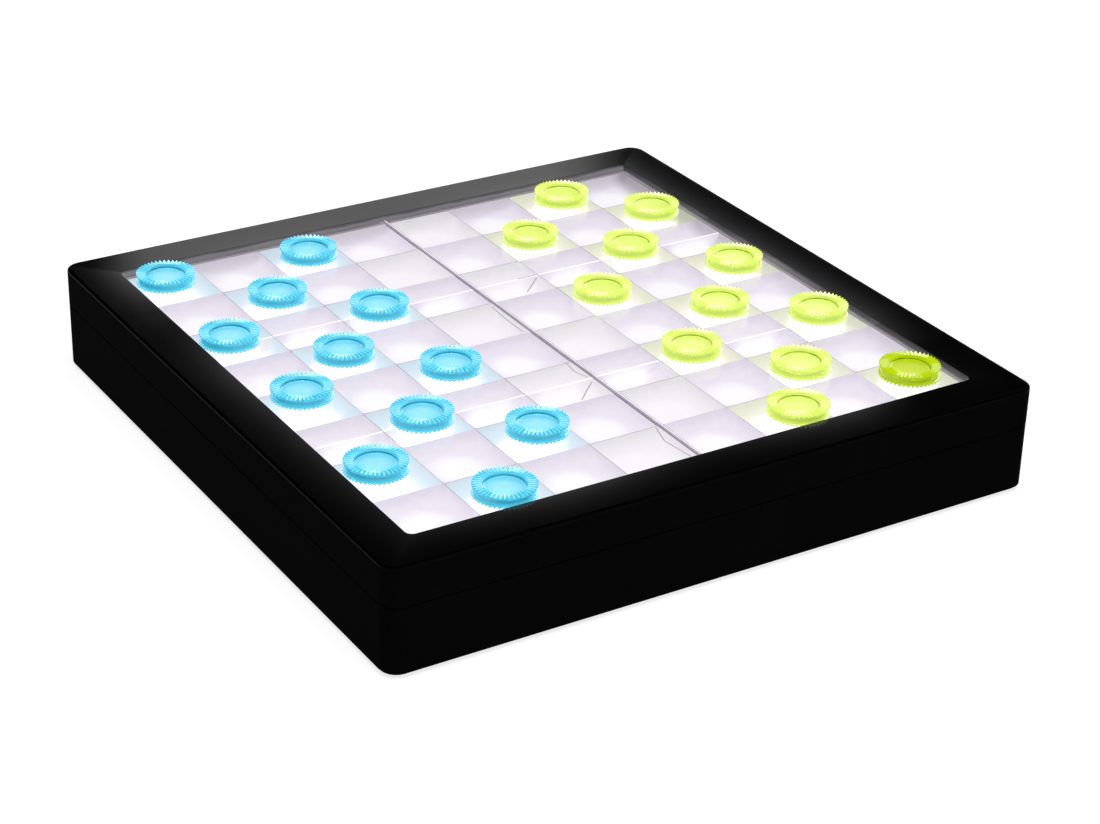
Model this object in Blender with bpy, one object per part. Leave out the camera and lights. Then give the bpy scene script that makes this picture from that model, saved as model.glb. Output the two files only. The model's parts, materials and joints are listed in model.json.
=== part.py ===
"""Lit checkers board: a black two-shell box with a glowing play field and two sets of clear checkers.

The origin is the middle of the resting plane under the feet. +X runs from row 1 to row 8, +Y runs from
column 8 at the front to column 1 at the back, and +Z is up. All sizes are in metres.
"""

import math

import bmesh
import bpy
from mathutils import Matrix, Vector

# Play field and housing
SQUARES = 8
SQUARE_SIDE = 0.0325
WINDOW_MARGIN = 0.0009
WINDOW_CORNER_RADIUS = 0.0030
WINDOW_EDGE_RADIUS = 0.0005
BEZEL_WIDTH = 0.0191
BEZEL_THICKNESS = 0.0024
HOUSING_HEIGHT = 0.0457
HOUSING_CORNER_RADIUS = 0.0073
HOUSING_WALL = 0.0025
HOUSING_FLOOR = 0.0036
TOP_EDGE_RADIUS = 0.0012
BASE_EDGE_RADIUS = 0.0008
PARTING_HEIGHT = 0.0283

# Clear panels, and the seam between them
PANEL_FLANGE = 0.0040
PANEL_PLATE = 0.0020
SEAM_STRIP_WIDTH = 0.0008

# Light box
CUP_RIM = 0.0008
CUP_CORNER_RADIUS = 0.0040
CUP_FLOOR_RADIUS = 0.0070
CUP_WALL_LEAN = 0.0050
TINTED_CUP_DEPTH = 0.0047
PALE_CUP_DEPTH = 0.0060
DIFFUSER_THICKNESS = 0.0015
TRAY_WALL = 0.0030
TRAY_FLOOR = 0.0015
TRAY_LEDGE = 0.0020
TRAY_CORNER_RADIUS = 0.0020
TRAY_POST_DIAMETER = 0.0080
TRAY_POST_SQUARES = ((-3, -3), (3, -3), (-3, 1), (3, 1), (0, -1))
LAMP_BOARD_THICKNESS = 0.0016
LAMP_LENGTH = 0.0035
LAMP_WIDTH = 0.0028
LAMP_HEIGHT = 0.0019

# Checkers
CHECKER_DIAMETER = 0.0256
CHECKER_HEIGHT = 0.0052
CHECKER_DISH_DIAMETER = 0.0178
CHECKER_DISH_DEPTH = 0.0014
CHECKER_DISH_DRAFT = 0.0005

# Batteries, their bay and the sliding door
CELL_COUNT = 3
CELL_DIAMETER = 0.0145
CELL_LENGTH = 0.0505
CELL_BUTTON_DIAMETER = 0.0055
CELL_BUTTON_HEIGHT = 0.0012
CELL_SPACING = 0.0005
BAY_WALL = 0.0020
BAY_ROOF = 0.0015
CONTACT_THICKNESS = 0.0005
CONTACT_WIDTH = 0.0110
CONTACT_HEIGHT = 0.0100
CONTACT_REACH = 0.0030
CONTACT_TAB_WIDTH = 0.0030
CONTACT_TAB_REACH = 0.0030
SPRING_DIAMETER = 0.0090
SPRING_TIP_DIAMETER = 0.0060
SPRING_TURNS = 4
BUTTON_CONTACT_DIAMETER = 0.0044
RAIL_LIP = 0.0012
RAIL_GROOVE_HEIGHT = 0.0014
RAIL_GROOVE_DEPTH = 0.0014
GRIP_GROOVES = 4
GRIP_GROOVE_WIDTH = 0.0010
GRIP_GROOVE_DEPTH = 0.0006
GRIP_GROOVE_PITCH = 0.0022
GRIP_INSET = 0.0060
GRIP_SIDE_MARGIN = 0.0080

# Power switch on the back wall
SWITCH_X = 0.0600
SWITCH_HEIGHT_ABOVE_FLOOR = 0.0100
SWITCH_BODY = (0.0150, 0.0060, 0.0070)
SWITCH_TRAVEL = 0.0040
SWITCH_KNOB = (0.0040, 0.0030)
SWITCH_SLIDE = (0.0080, 0.0015, 0.0048)
SWITCH_POCKET_MARGIN = 0.0020
SWITCH_POCKET_DEPTH = 0.0012
SWITCH_KNOB_RECESS = 0.0002
SWITCH_PIN = 0.0010
SWITCH_PIN_REACH = 0.0025

# Fasteners, feet and leads
SCREW_DIAMETER = 0.0030
SCREW_LENGTH = 0.0140
SCREW_HEAD_DIAMETER = 0.0054
SCREW_HEAD_HEIGHT = 0.0022
SCREW_SEAT = 0.0050
SCREW_POST_DIAMETER = 0.0084
SCREW_BOSS_DIAMETER = 0.0070
FOOT_DIAMETER = 0.0140
FOOT_HEIGHT = 0.0015
FOOT_RECESS = 0.0010
FOOT_INSET = 0.0240
FOOT_CHAMFER = 0.0005
LEAD_DIAMETER = 0.0016
LEAD_HOLE_DIAMETER = 0.0040
LEAD_STEP = 0.0030

# Clearances, roundness and overlaps of shapes that are joined
GAP = 0.0003
OVERLAP = 0.0005
CORNER_STEPS = 5
CUP_CORNER_STEPS = 3
EDGE_STEPS = 3
LEAST_RADIUS = 0.0002
CHECKER_SIDES = 20
ROUND_SIDES = 16
SMALL_SIDES = 12
SMOOTH_ANGLE = math.radians(35)

# Where each checker stands: row, column, and how far it lies off the middle of its square
BLUE_PLACES = (
    (1, 1, -0.0020, 0.0025),
    (1, 3, -0.0030, 0.0010),
    (1, 5, 0.0005, 0.0065),
    (1, 7, -0.0025, 0.0030),
    (2, 2, 0.0010, -0.0025),
    (2, 4, 0.0000, -0.0010),
    (2, 6, 0.0005, -0.0015),
    (2, 8, -0.0015, -0.0040),
    (3, 1, 0.0000, -0.0020),
    (3, 3, 0.0010, -0.0020),
    (3, 5, 0.0000, -0.0005),
    (3, 7, 0.0030, 0.0010),
)
YELLOW_PLACES = (
    (6, 2, -0.0015, -0.0015),
    (6, 4, -0.0040, -0.0015),
    (6, 6, -0.0015, -0.0020),
    (6, 8, 0.0045, -0.0040),
    (7, 1, 0.0030, -0.0010),
    (7, 3, 0.0005, 0.0005),
    (7, 5, 0.0010, -0.0045),
    (7, 7, -0.0035, -0.0045),
    (8, 2, 0.0000, -0.0005),
    (8, 4, 0.0000, -0.0025),
    (8, 6, 0.0020, 0.0020),
    (8, 8, 0.0000, 0.0015),
)

# Half widths that follow from the sizes above
FIELD_HALF = SQUARES * SQUARE_SIDE / 2
WINDOW_HALF = FIELD_HALF + WINDOW_MARGIN
HOUSING_HALF = WINDOW_HALF + BEZEL_WIDTH
INSIDE_HALF = HOUSING_HALF - HOUSING_WALL
INSIDE_RADIUS = max(HOUSING_CORNER_RADIUS - HOUSING_WALL, LEAST_RADIUS)
PANEL_HALF = WINDOW_HALF + PANEL_FLANGE
TRAY_INSIDE_HALF = PANEL_HALF - TRAY_WALL
LEDGE_HALF = TRAY_INSIDE_HALF - TRAY_LEDGE
SEAM_HALF = SEAM_STRIP_WIDTH / 2 + GAP
SCREW_PLACE = (PANEL_HALF + INSIDE_HALF) / 2

# Levels, from the table upwards
BASE_Z = FOOT_HEIGHT
FLOOR_Z = BASE_Z + HOUSING_FLOOR
PARTING_Z = BASE_Z + PARTING_HEIGHT
TOP_Z = BASE_Z + HOUSING_HEIGHT
CELL_Z = FLOOR_Z + GAP + CELL_DIAMETER / 2
BAY_ROOF_Z = CELL_Z + CELL_DIAMETER / 2 + GAP
BAY_TOP_Z = BAY_ROOF_Z + BAY_ROOF
TRAY_Z = BAY_TOP_Z + GAP
LAMP_BOARD_Z = TRAY_Z + TRAY_FLOOR + GAP
LAMP_BOARD_TOP_Z = LAMP_BOARD_Z + LAMP_BOARD_THICKNESS
BEZEL_UNDER_Z = TOP_Z - BEZEL_THICKNESS
PANEL_TOP_Z = BEZEL_UNDER_Z - GAP
PANEL_UNDER_Z = PANEL_TOP_Z - PANEL_PLATE
DIFFUSER_TOP_Z = PANEL_UNDER_Z - GAP
DIFFUSER_UNDER_Z = DIFFUSER_TOP_Z - max(TINTED_CUP_DEPTH, PALE_CUP_DEPTH) - DIFFUSER_THICKNESS
TRAY_RIM_Z = PANEL_UNDER_Z - GAP
TRAY_LEDGE_Z = DIFFUSER_UNDER_Z - GAP
CHECKER_Z = PANEL_TOP_Z + GAP
SCREW_SEAT_Z = PARTING_Z - SCREW_SEAT
SWITCH_Z = FLOOR_Z + SWITCH_HEIGHT_ABOVE_FLOOR

# The battery bay against the back wall, and the contacts at its ends
CELL_PITCH = CELL_DIAMETER + CELL_SPACING
BAY_HALF = CELL_COUNT * CELL_PITCH / 2
BAY_SIDE = BAY_HALF + BAY_WALL
CONTACT_ROOM = GAP + CONTACT_THICKNESS + CONTACT_REACH + GAP
BAY_BACK_Y = INSIDE_HALF
BAY_FRONT_Y = BAY_BACK_Y - CELL_LENGTH - 2 * CONTACT_ROOM
CELL_FRONT_Y = BAY_FRONT_Y + CONTACT_ROOM
RAIL_TOP_Z = BASE_Z + RAIL_LIP + RAIL_GROOVE_HEIGHT
TAB_Z = CELL_Z + CONTACT_HEIGHT / 2 - CONTACT_THICKNESS

# The switch body behind the back wall
SWITCH_BACK_Y = INSIDE_HALF - GAP
SWITCH_FRONT_Y = SWITCH_BACK_Y - SWITCH_BODY[1]
SWITCH_PIN_Y = (SWITCH_BACK_Y + SWITCH_FRONT_Y) / 2
SWITCH_PIN_X = SWITCH_BODY[0] / 2 + SWITCH_PIN_REACH

# Where the leads pass up through the floor of the reflector tray
NEGATIVE_HOLE = (-CELL_PITCH - 0.0030, BAY_FRONT_Y - 0.0240)
SWITCHED_HOLE = (SWITCH_X + 0.0190, PANEL_HALF - 0.0390)
LINK_Y = -3.4 * SQUARE_SIDE
LINK_REACH = 0.0060
LINK_RISE = 0.0042


def clear_scene():
    for obj in list(bpy.data.objects):
        bpy.data.objects.remove(obj, do_unlink=True)


def finish(name, colour, roughness, metallic=0.0, transmission=0.0):
    """A Principled material with the piece's colour and surface."""
    material = bpy.data.materials.new(name)
    material.use_nodes = True
    shader = material.node_tree.nodes["Principled BSDF"]
    shader.inputs["Base Color"].default_value = (*colour, 1.0)
    shader.inputs["Roughness"].default_value = roughness
    shader.inputs["Metallic"].default_value = metallic
    shader.inputs["Transmission Weight"].default_value = transmission
    material.diffuse_color = (*colour, 1.0)
    return material


def shade(mesh):
    """Smooth shading with every edge over the set angle kept sharp."""
    mesh.shade_smooth()
    mesh.set_sharp_from_angle(angle=SMOOTH_ANGLE)


def make_mesh(name, bm, material=None):
    bmesh.ops.recalc_face_normals(bm, faces=bm.faces)
    mesh = bpy.data.meshes.new(name)
    bm.to_mesh(mesh)
    bm.free()
    shade(mesh)
    if material:
        mesh.materials.append(material)
    return mesh


def place(name, mesh, location=(0, 0, 0), turn_z=0.0):
    obj = bpy.data.objects.new(name, mesh)
    bpy.context.scene.collection.objects.link(obj)
    obj.location = location
    obj.rotation_euler = (0, 0, turn_z)
    obj.parent = bpy.data.objects["board"]
    return obj


def make(name, bm, material):
    return place(name, make_mesh(name, bm, material))


def combine(obj, operation, bm):
    """Joins obj with the shapes in bm, or cuts them out of it, and keeps the result as its mesh."""
    tool = place(f"{obj.name}_tool", make_mesh("tool", bm))
    modifier = obj.modifiers.new("combine", "BOOLEAN")
    modifier.operation = operation
    modifier.object = tool
    graph = bpy.context.evaluated_depsgraph_get()
    mesh = bpy.data.meshes.new_from_object(obj.evaluated_get(graph))
    obj.modifiers.clear()
    obj.data = mesh
    shade(mesh)
    bpy.data.objects.remove(tool)


def union(obj, bm):
    combine(obj, "UNION", bm)


def cut(obj, bm):
    combine(obj, "DIFFERENCE", bm)


def add_box(bm, low, high):
    low = Vector(low)
    size = Vector(high) - low
    matrix = Matrix.Translation(low + size / 2) @ Matrix.Diagonal((*size, 1))
    bmesh.ops.create_cube(bm, size=1, matrix=matrix)


def rounded_ring(low, high, radius, z, steps=CORNER_STEPS):
    """Points round a rounded rectangle between two corners at height z, anticlockwise."""
    centres = (
        (high[0] - radius, high[1] - radius),
        (low[0] + radius, high[1] - radius),
        (low[0] + radius, low[1] + radius),
        (high[0] - radius, low[1] + radius),
    )
    points = []
    for quarter, (x, y) in enumerate(centres):
        for step in range(steps + 1):
            angle = (quarter + step / steps) * math.pi / 2
            points.append((x + radius * math.cos(angle), y + radius * math.sin(angle), z))
    return points


def square_ring(half, radius, z):
    return rounded_ring((-half, -half), (half, half), max(radius, LEAST_RADIUS), z)


def add_loft(bm, rings, closed=False):
    """Skins a chain of rings with equal numbers of points. A chain that isn't closed gets two end faces."""
    loops = [[bm.verts.new(point) for point in ring] for ring in rings]
    pairs = list(zip(loops, loops[1:]))
    if closed:
        pairs.append((loops[-1], loops[0]))
    for first, second in pairs:
        for i in range(len(first)):
            j = (i + 1) % len(first)
            bm.faces.new((first[i], first[j], second[j], second[i]))
    if not closed:
        bm.faces.new(loops[0])
        bm.faces.new(loops[-1])


def add_turned(bm, profile, sides, matrix=Matrix.Identity(4)):
    """A solid turned about Z from (radius, height) points, with flat ends, then moved by matrix."""
    rings = []
    for radius, z in profile:
        ring = []
        for side in range(sides):
            angle = 2 * math.pi * side / sides
            ring.append(matrix @ Vector((radius * math.cos(angle), radius * math.sin(angle), z)))
        rings.append(ring)
    add_loft(bm, rings)


def add_cylinder(bm, x, y, low_z, high_z, diameter, sides):
    add_turned(bm, ((diameter / 2, low_z), (diameter / 2, high_z)), sides, Matrix.Translation((x, y, 0)))


def square_middle(row, column):
    middle = (SQUARES + 1) / 2
    return (row - middle) * SQUARE_SIDE, (middle - column) * SQUARE_SIDE


def screw_places():
    corners = [(x, y) for x in (-SCREW_PLACE, SCREW_PLACE) for y in (-SCREW_PLACE, SCREW_PLACE)]
    return corners + [(-SCREW_PLACE, 0.0), (SCREW_PLACE, 0.0)]


def edge_arc(half, corner_radius, z, edge_radius):
    """Rings over a rounded top edge, from the side wall at half to the flat face at height z."""
    rings = []
    for step in range(EDGE_STEPS + 1):
        angle = step / EDGE_STEPS * math.pi / 2
        inset = edge_radius * (1 - math.cos(angle))
        rise = edge_radius * (1 - math.sin(angle))
        rings.append(square_ring(half - inset, corner_radius - inset, z - rise))
    return rings


def make_upper_housing(material):
    low_z = PARTING_Z + GAP
    rings = [square_ring(HOUSING_HALF, HOUSING_CORNER_RADIUS, low_z)]
    rings += edge_arc(HOUSING_HALF, HOUSING_CORNER_RADIUS, TOP_Z, TOP_EDGE_RADIUS)
    edge = WINDOW_EDGE_RADIUS
    rings += [
        square_ring(WINDOW_HALF + edge, WINDOW_CORNER_RADIUS + edge, TOP_Z),
        square_ring(WINDOW_HALF, WINDOW_CORNER_RADIUS, TOP_Z - edge),
        square_ring(WINDOW_HALF, WINDOW_CORNER_RADIUS, BEZEL_UNDER_Z),
        square_ring(INSIDE_HALF, INSIDE_RADIUS, BEZEL_UNDER_Z),
        square_ring(INSIDE_HALF, INSIDE_RADIUS, low_z),
    ]
    bm = bmesh.new()
    add_loft(bm, rings, closed=True)
    housing = make("upper_housing", bm, material)
    bosses = bmesh.new()
    holes = bmesh.new()
    hole = SCREW_DIAMETER + 2 * GAP
    for x, y in screw_places():
        add_cylinder(bosses, x, y, low_z, BEZEL_UNDER_Z + OVERLAP, SCREW_BOSS_DIAMETER, ROUND_SIDES)
        add_cylinder(holes, x, y, low_z - OVERLAP, SCREW_SEAT_Z + SCREW_LENGTH + GAP, hole, SMALL_SIDES)
    union(housing, bosses)
    cut(housing, holes)


def switch_pocket(half_x, half_z, low_y, high_y):
    """Corners of a box on the switch's middle, seen from the back."""
    return (SWITCH_X - half_x, low_y, SWITCH_Z - half_z), (SWITCH_X + half_x, high_y, SWITCH_Z + half_z)


def make_lower_housing(material):
    inset = BASE_EDGE_RADIUS
    rings = [
        square_ring(HOUSING_HALF - inset, HOUSING_CORNER_RADIUS - inset, BASE_Z),
        square_ring(HOUSING_HALF, HOUSING_CORNER_RADIUS, BASE_Z + inset),
        square_ring(HOUSING_HALF, HOUSING_CORNER_RADIUS, PARTING_Z),
        square_ring(INSIDE_HALF, INSIDE_RADIUS, PARTING_Z),
        square_ring(INSIDE_HALF, INSIDE_RADIUS, FLOOR_Z),
    ]
    bm = bmesh.new()
    add_loft(bm, rings)
    housing = make("lower_housing", bm, material)

    # Screw posts, posts under the reflector tray, the bay's block and the shelf under the switch
    posts = bmesh.new()
    low_z = FLOOR_Z - OVERLAP
    for x, y in screw_places():
        add_cylinder(posts, x, y, low_z, PARTING_Z, SCREW_POST_DIAMETER, ROUND_SIDES)
    for column, row in TRAY_POST_SQUARES:
        x, y = column * SQUARE_SIDE, row * SQUARE_SIDE
        add_cylinder(posts, x, y, low_z, BAY_TOP_Z, TRAY_POST_DIAMETER, ROUND_SIDES)
    corner = (BAY_SIDE, BAY_BACK_Y + OVERLAP, BAY_TOP_Z)
    add_box(posts, (-BAY_SIDE, BAY_FRONT_Y - BAY_WALL, low_z), corner)
    shelf = SWITCH_BODY[0] / 2
    shelf_top = SWITCH_Z - SWITCH_BODY[2] / 2 - GAP
    corner = (SWITCH_X + shelf, INSIDE_HALF + OVERLAP, shelf_top)
    add_box(posts, (SWITCH_X - shelf, SWITCH_FRONT_Y, low_z), corner)
    union(housing, posts)

    # The bay's hollow, the door's channel out through the back wall, and its two rail grooves
    hollow = bmesh.new()
    out_y = HOUSING_HALF + OVERLAP
    add_box(hollow, (-BAY_HALF, BAY_FRONT_Y, FLOOR_Z - OVERLAP), (BAY_HALF, BAY_BACK_Y, BAY_ROOF_Z))
    cut(housing, hollow)
    channel = bmesh.new()
    add_box(channel, (-BAY_HALF, BAY_FRONT_Y, BASE_Z - OVERLAP), (BAY_HALF, out_y, FLOOR_Z))
    cut(housing, channel)
    rails = bmesh.new()
    groove = BAY_HALF + RAIL_GROOVE_DEPTH
    add_box(rails, (-groove, BAY_FRONT_Y, BASE_Z + RAIL_LIP), (groove, out_y, RAIL_TOP_Z))
    cut(housing, rails)

    # Screw holes and counterbores, recesses for the feet, slots for the contact tabs
    holes = bmesh.new()
    shaft = SCREW_DIAMETER / 2 + GAP
    head = SCREW_HEAD_DIAMETER / 2 + GAP
    steps = (
        (head, BASE_Z - OVERLAP),
        (head, SCREW_SEAT_Z),
        (shaft, SCREW_SEAT_Z),
        (shaft, PARTING_Z + OVERLAP),
    )
    for x, y in screw_places():
        add_turned(holes, steps, SMALL_SIDES, Matrix.Translation((x, y, 0)))
    for x, y in foot_places():
        recess = FOOT_DIAMETER + 2 * GAP
        add_cylinder(holes, x, y, BASE_Z - OVERLAP, BASE_Z + FOOT_RECESS, recess, ROUND_SIDES)
    tab = CONTACT_TAB_WIDTH / 2 + GAP
    tab_y = BAY_BACK_Y - 2 * GAP - CONTACT_THICKNESS
    add_box(
        holes,
        (CELL_PITCH - tab, tab_y, BAY_ROOF_Z - OVERLAP),
        (CELL_PITCH + tab, tab_y + CONTACT_THICKNESS + GAP, BAY_TOP_Z + OVERLAP),
    )
    add_box(
        holes,
        (-CELL_PITCH - tab, BAY_FRONT_Y - BAY_WALL - OVERLAP, TAB_Z - GAP),
        (-CELL_PITCH + tab, BAY_FRONT_Y + OVERLAP, TAB_Z + CONTACT_THICKNESS + GAP),
    )
    cut(housing, holes)

    # The switch's pocket on the outside of the back wall, and the slot that its knob slides in
    knob_x = (SWITCH_KNOB[0] + SWITCH_TRAVEL) / 2 + GAP
    knob_z = SWITCH_KNOB[1] / 2 + GAP
    margin = SWITCH_POCKET_MARGIN
    pocket = bmesh.new()
    add_box(
        pocket,
        *switch_pocket(knob_x + margin, knob_z + margin, HOUSING_HALF - SWITCH_POCKET_DEPTH, out_y),
    )
    cut(housing, pocket)
    slot = bmesh.new()
    add_box(slot, *switch_pocket(knob_x, knob_z, INSIDE_HALF - OVERLAP, out_y))
    cut(housing, slot)


def make_play_panel(name, side, material):
    """One clear half panel: side is -1 for rows 1 to 4 and 1 for rows 5 to 8."""
    edges = sorted((side * PANEL_HALF, side * SEAM_HALF))
    bm = bmesh.new()
    add_box(bm, (edges[0], -PANEL_HALF, PANEL_UNDER_Z), (edges[1], PANEL_HALF, PANEL_TOP_Z))
    make(name, bm, material)


def make_seam_strip(material):
    half = SEAM_STRIP_WIDTH / 2
    bm = bmesh.new()
    add_box(bm, (-half, -PANEL_HALF, PANEL_UNDER_Z), (half, PANEL_HALF, PANEL_TOP_Z))
    make("seam_strip", bm, material)


def add_cup(bm, row, column):
    """The hollow over one lamp: a rounded square at the rim whose walls lean in towards its floor."""
    x, y = square_middle(row, column)
    rim = (SQUARE_SIDE - CUP_RIM) / 2
    floor = rim - CUP_WALL_LEAN
    depth = TINTED_CUP_DEPTH if (row + column) % 2 else PALE_CUP_DEPTH
    sections = (
        (floor, CUP_FLOOR_RADIUS, DIFFUSER_TOP_Z - depth),
        (rim, CUP_CORNER_RADIUS, DIFFUSER_TOP_Z),
        (rim, CUP_CORNER_RADIUS, DIFFUSER_TOP_Z + OVERLAP),
    )
    rings = []
    for half, radius, z in sections:
        low, high = (x - half, y - half), (x + half, y + half)
        rings.append(rounded_ring(low, high, radius, z, CUP_CORNER_STEPS))
    add_loft(bm, rings)


def make_diffuser(material):
    """The moulded diffuser with one light cup under each square."""
    half = TRAY_INSIDE_HALF - GAP
    levels = (DIFFUSER_UNDER_Z, DIFFUSER_TOP_Z)
    bm = bmesh.new()
    add_loft(bm, [square_ring(half, TRAY_CORNER_RADIUS, z) for z in levels])
    diffuser = make("diffuser_sheet", bm, material)
    cups = bmesh.new()
    for row in range(1, SQUARES + 1):
        for column in range(1, SQUARES + 1):
            add_cup(cups, row, column)
    cut(diffuser, cups)


def make_reflector_tray(material):
    radius = TRAY_CORNER_RADIUS
    rings = [
        square_ring(PANEL_HALF, radius, TRAY_Z),
        square_ring(PANEL_HALF, radius, TRAY_RIM_Z),
        square_ring(TRAY_INSIDE_HALF, radius, TRAY_RIM_Z),
        square_ring(TRAY_INSIDE_HALF, radius, TRAY_LEDGE_Z),
        square_ring(LEDGE_HALF, radius, TRAY_LEDGE_Z),
        square_ring(LEDGE_HALF, radius, TRAY_Z + TRAY_FLOOR),
    ]
    bm = bmesh.new()
    add_loft(bm, rings)
    tray = make("reflector_tray", bm, material)
    holes = bmesh.new()
    for x, y in (NEGATIVE_HOLE, SWITCHED_HOLE):
        add_cylinder(holes, x, y, TRAY_Z - OVERLAP, LAMP_BOARD_Z, LEAD_HOLE_DIAMETER, SMALL_SIDES)
    cut(tray, holes)


def make_lamp_board(name, side, material):
    """One board with a lamp under the middle of each of its squares."""
    edges = sorted((side * (LEDGE_HALF - GAP), side * GAP))
    half_y = LEDGE_HALF - GAP
    low, high = (edges[0], -half_y), (edges[1], half_y)
    levels = (LAMP_BOARD_Z, LAMP_BOARD_TOP_Z)
    bm = bmesh.new()
    add_loft(bm, [rounded_ring(low, high, TRAY_CORNER_RADIUS, z) for z in levels])
    board = make(name, bm, material)
    lamps = bmesh.new()
    half = SQUARES // 2
    rows = range(1, half + 1) if side < 0 else range(half + 1, SQUARES + 1)
    low_z = LAMP_BOARD_TOP_Z - OVERLAP
    for row in rows:
        for column in range(1, SQUARES + 1):
            x, y = square_middle(row, column)
            low = (x - LAMP_LENGTH / 2, y - LAMP_WIDTH / 2, low_z)
            high = (x + LAMP_LENGTH / 2, y + LAMP_WIDTH / 2, LAMP_BOARD_TOP_Z + LAMP_HEIGHT)
            add_box(lamps, low, high)
    union(board, lamps)


def checker_mesh(name, material):
    rim = CHECKER_DIAMETER / 2
    dish = CHECKER_DISH_DIAMETER / 2
    floor = dish - CHECKER_DISH_DRAFT
    top = CHECKER_HEIGHT
    depth = CHECKER_DISH_DEPTH
    bm = bmesh.new()
    profile = (
        (floor, depth),
        (dish, 0.0),
        (rim, 0.0),
        (rim, top),
        (dish, top),
        (floor, top - depth),
    )
    add_turned(bm, profile, CHECKER_SIDES)
    return make_mesh(name, bm, material)


def in_window(value):
    """Keeps a checker's middle where its rim stays clear of the bezel."""
    reach = WINDOW_HALF - CHECKER_DIAMETER / 2 - GAP
    return max(-reach, min(reach, value))


def make_checkers(colour, places, material):
    mesh = checker_mesh(f"{colour}_checker", material)
    for number, (row, column, off_x, off_y) in enumerate(places, start=1):
        x, y = square_middle(row, column)
        spot = (in_window(x + off_x), in_window(y + off_y), CHECKER_Z)
        place(f"{colour}_checker_{number:02d}", mesh, spot)


def make_cells(material):
    """Cells side by side, each turned end for end from its neighbour, the outer buttons at the back."""
    body = CELL_LENGTH - CELL_BUTTON_HEIGHT
    profile = (
        (CELL_DIAMETER / 2, 0.0),
        (CELL_DIAMETER / 2, body),
        (CELL_BUTTON_DIAMETER / 2, body),
        (CELL_BUTTON_DIAMETER / 2, CELL_LENGTH),
    )
    bm = bmesh.new()
    along_y = Matrix.Rotation(-math.pi / 2, 4, "X")
    add_turned(bm, profile, ROUND_SIDES, Matrix.Translation((0, -CELL_LENGTH / 2, 0)) @ along_y)
    mesh = make_mesh("cell", bm, material)
    for number in range(CELL_COUNT):
        x = (number - (CELL_COUNT - 1) / 2) * CELL_PITCH
        spot = (x, CELL_FRONT_Y + CELL_LENGTH / 2, CELL_Z)
        place(f"battery_cell_{number + 1}", mesh, spot, turn_z=math.pi * (number % 2))


def contact_matrix(x, at_back):
    """Stands a turned contact shape on a bay's end wall, with +Z of the shape pointing into the bay."""
    wall = BAY_BACK_Y - GAP - CONTACT_THICKNESS if at_back else BAY_FRONT_Y + GAP + CONTACT_THICKNESS
    turn = math.pi / 2 if at_back else -math.pi / 2
    return Matrix.Translation((x, wall, CELL_Z)) @ Matrix.Rotation(turn, 4, "X")


def add_spring(bm, x, at_back):
    """A conical spring as stepped turns."""
    profile = []
    for turn in range(SPRING_TURNS):
        share = turn / (SPRING_TURNS - 1)
        radius = (SPRING_DIAMETER + (SPRING_TIP_DIAMETER - SPRING_DIAMETER) * share) / 2
        low = CONTACT_REACH * turn / SPRING_TURNS if turn else -CONTACT_THICKNESS / 2
        profile += [(radius, low), (radius, CONTACT_REACH * (turn + 1) / SPRING_TURNS)]
    add_turned(bm, profile, SMALL_SIDES, contact_matrix(x, at_back))


def add_button_contact(bm, x, at_back):
    radius = BUTTON_CONTACT_DIAMETER / 2
    profile = ((radius, -CONTACT_THICKNESS / 2), (radius, CONTACT_REACH))
    add_turned(bm, profile, SMALL_SIDES, contact_matrix(x, at_back))


def make_contact(name, material, at_back, spring_x=None, button_x=None, tab=None):
    """A contact plate on an end wall with a spring, a raised button or both, and perhaps a solder tab."""
    spots = [x for x in (spring_x, button_x) if x is not None]
    half = CONTACT_WIDTH / 2
    low_y = BAY_BACK_Y - GAP - CONTACT_THICKNESS if at_back else BAY_FRONT_Y + GAP
    low = (min(spots) - half, low_y, CELL_Z - CONTACT_HEIGHT / 2)
    high = (max(spots) + half, low_y + CONTACT_THICKNESS, CELL_Z + CONTACT_HEIGHT / 2)
    bm = bmesh.new()
    add_box(bm, low, high)
    contact = make(name, bm, material)
    raised = bmesh.new()
    if spring_x is not None:
        add_spring(raised, spring_x, at_back)
    if button_x is not None:
        add_button_contact(raised, button_x, at_back)
    union(contact, raised)
    if tab:
        strip = bmesh.new()
        add_box(strip, *tab)
        union(contact, strip)


def make_contacts(material):
    tab = CONTACT_TAB_WIDTH / 2
    back_y = BAY_BACK_Y - GAP - CONTACT_THICKNESS
    up = (
        (CELL_PITCH - tab, back_y, CELL_Z + CONTACT_HEIGHT / 2 - OVERLAP),
        (CELL_PITCH + tab, back_y + CONTACT_THICKNESS, BAY_TOP_Z + CONTACT_TAB_REACH),
    )
    forward = (
        (-CELL_PITCH - tab, BAY_FRONT_Y - BAY_WALL - CONTACT_TAB_REACH, TAB_Z),
        (-CELL_PITCH + tab, BAY_FRONT_Y + GAP + CONTACT_THICKNESS / 2, TAB_Z + CONTACT_THICKNESS),
    )
    make_contact("contact_positive", material, True, button_x=CELL_PITCH, tab=up)
    make_contact("contact_negative", material, False, spring_x=-CELL_PITCH, tab=forward)
    make_contact("contact_link_front", material, False, spring_x=CELL_PITCH, button_x=0.0)
    make_contact("contact_link_back", material, True, spring_x=0.0, button_x=-CELL_PITCH)


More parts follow.
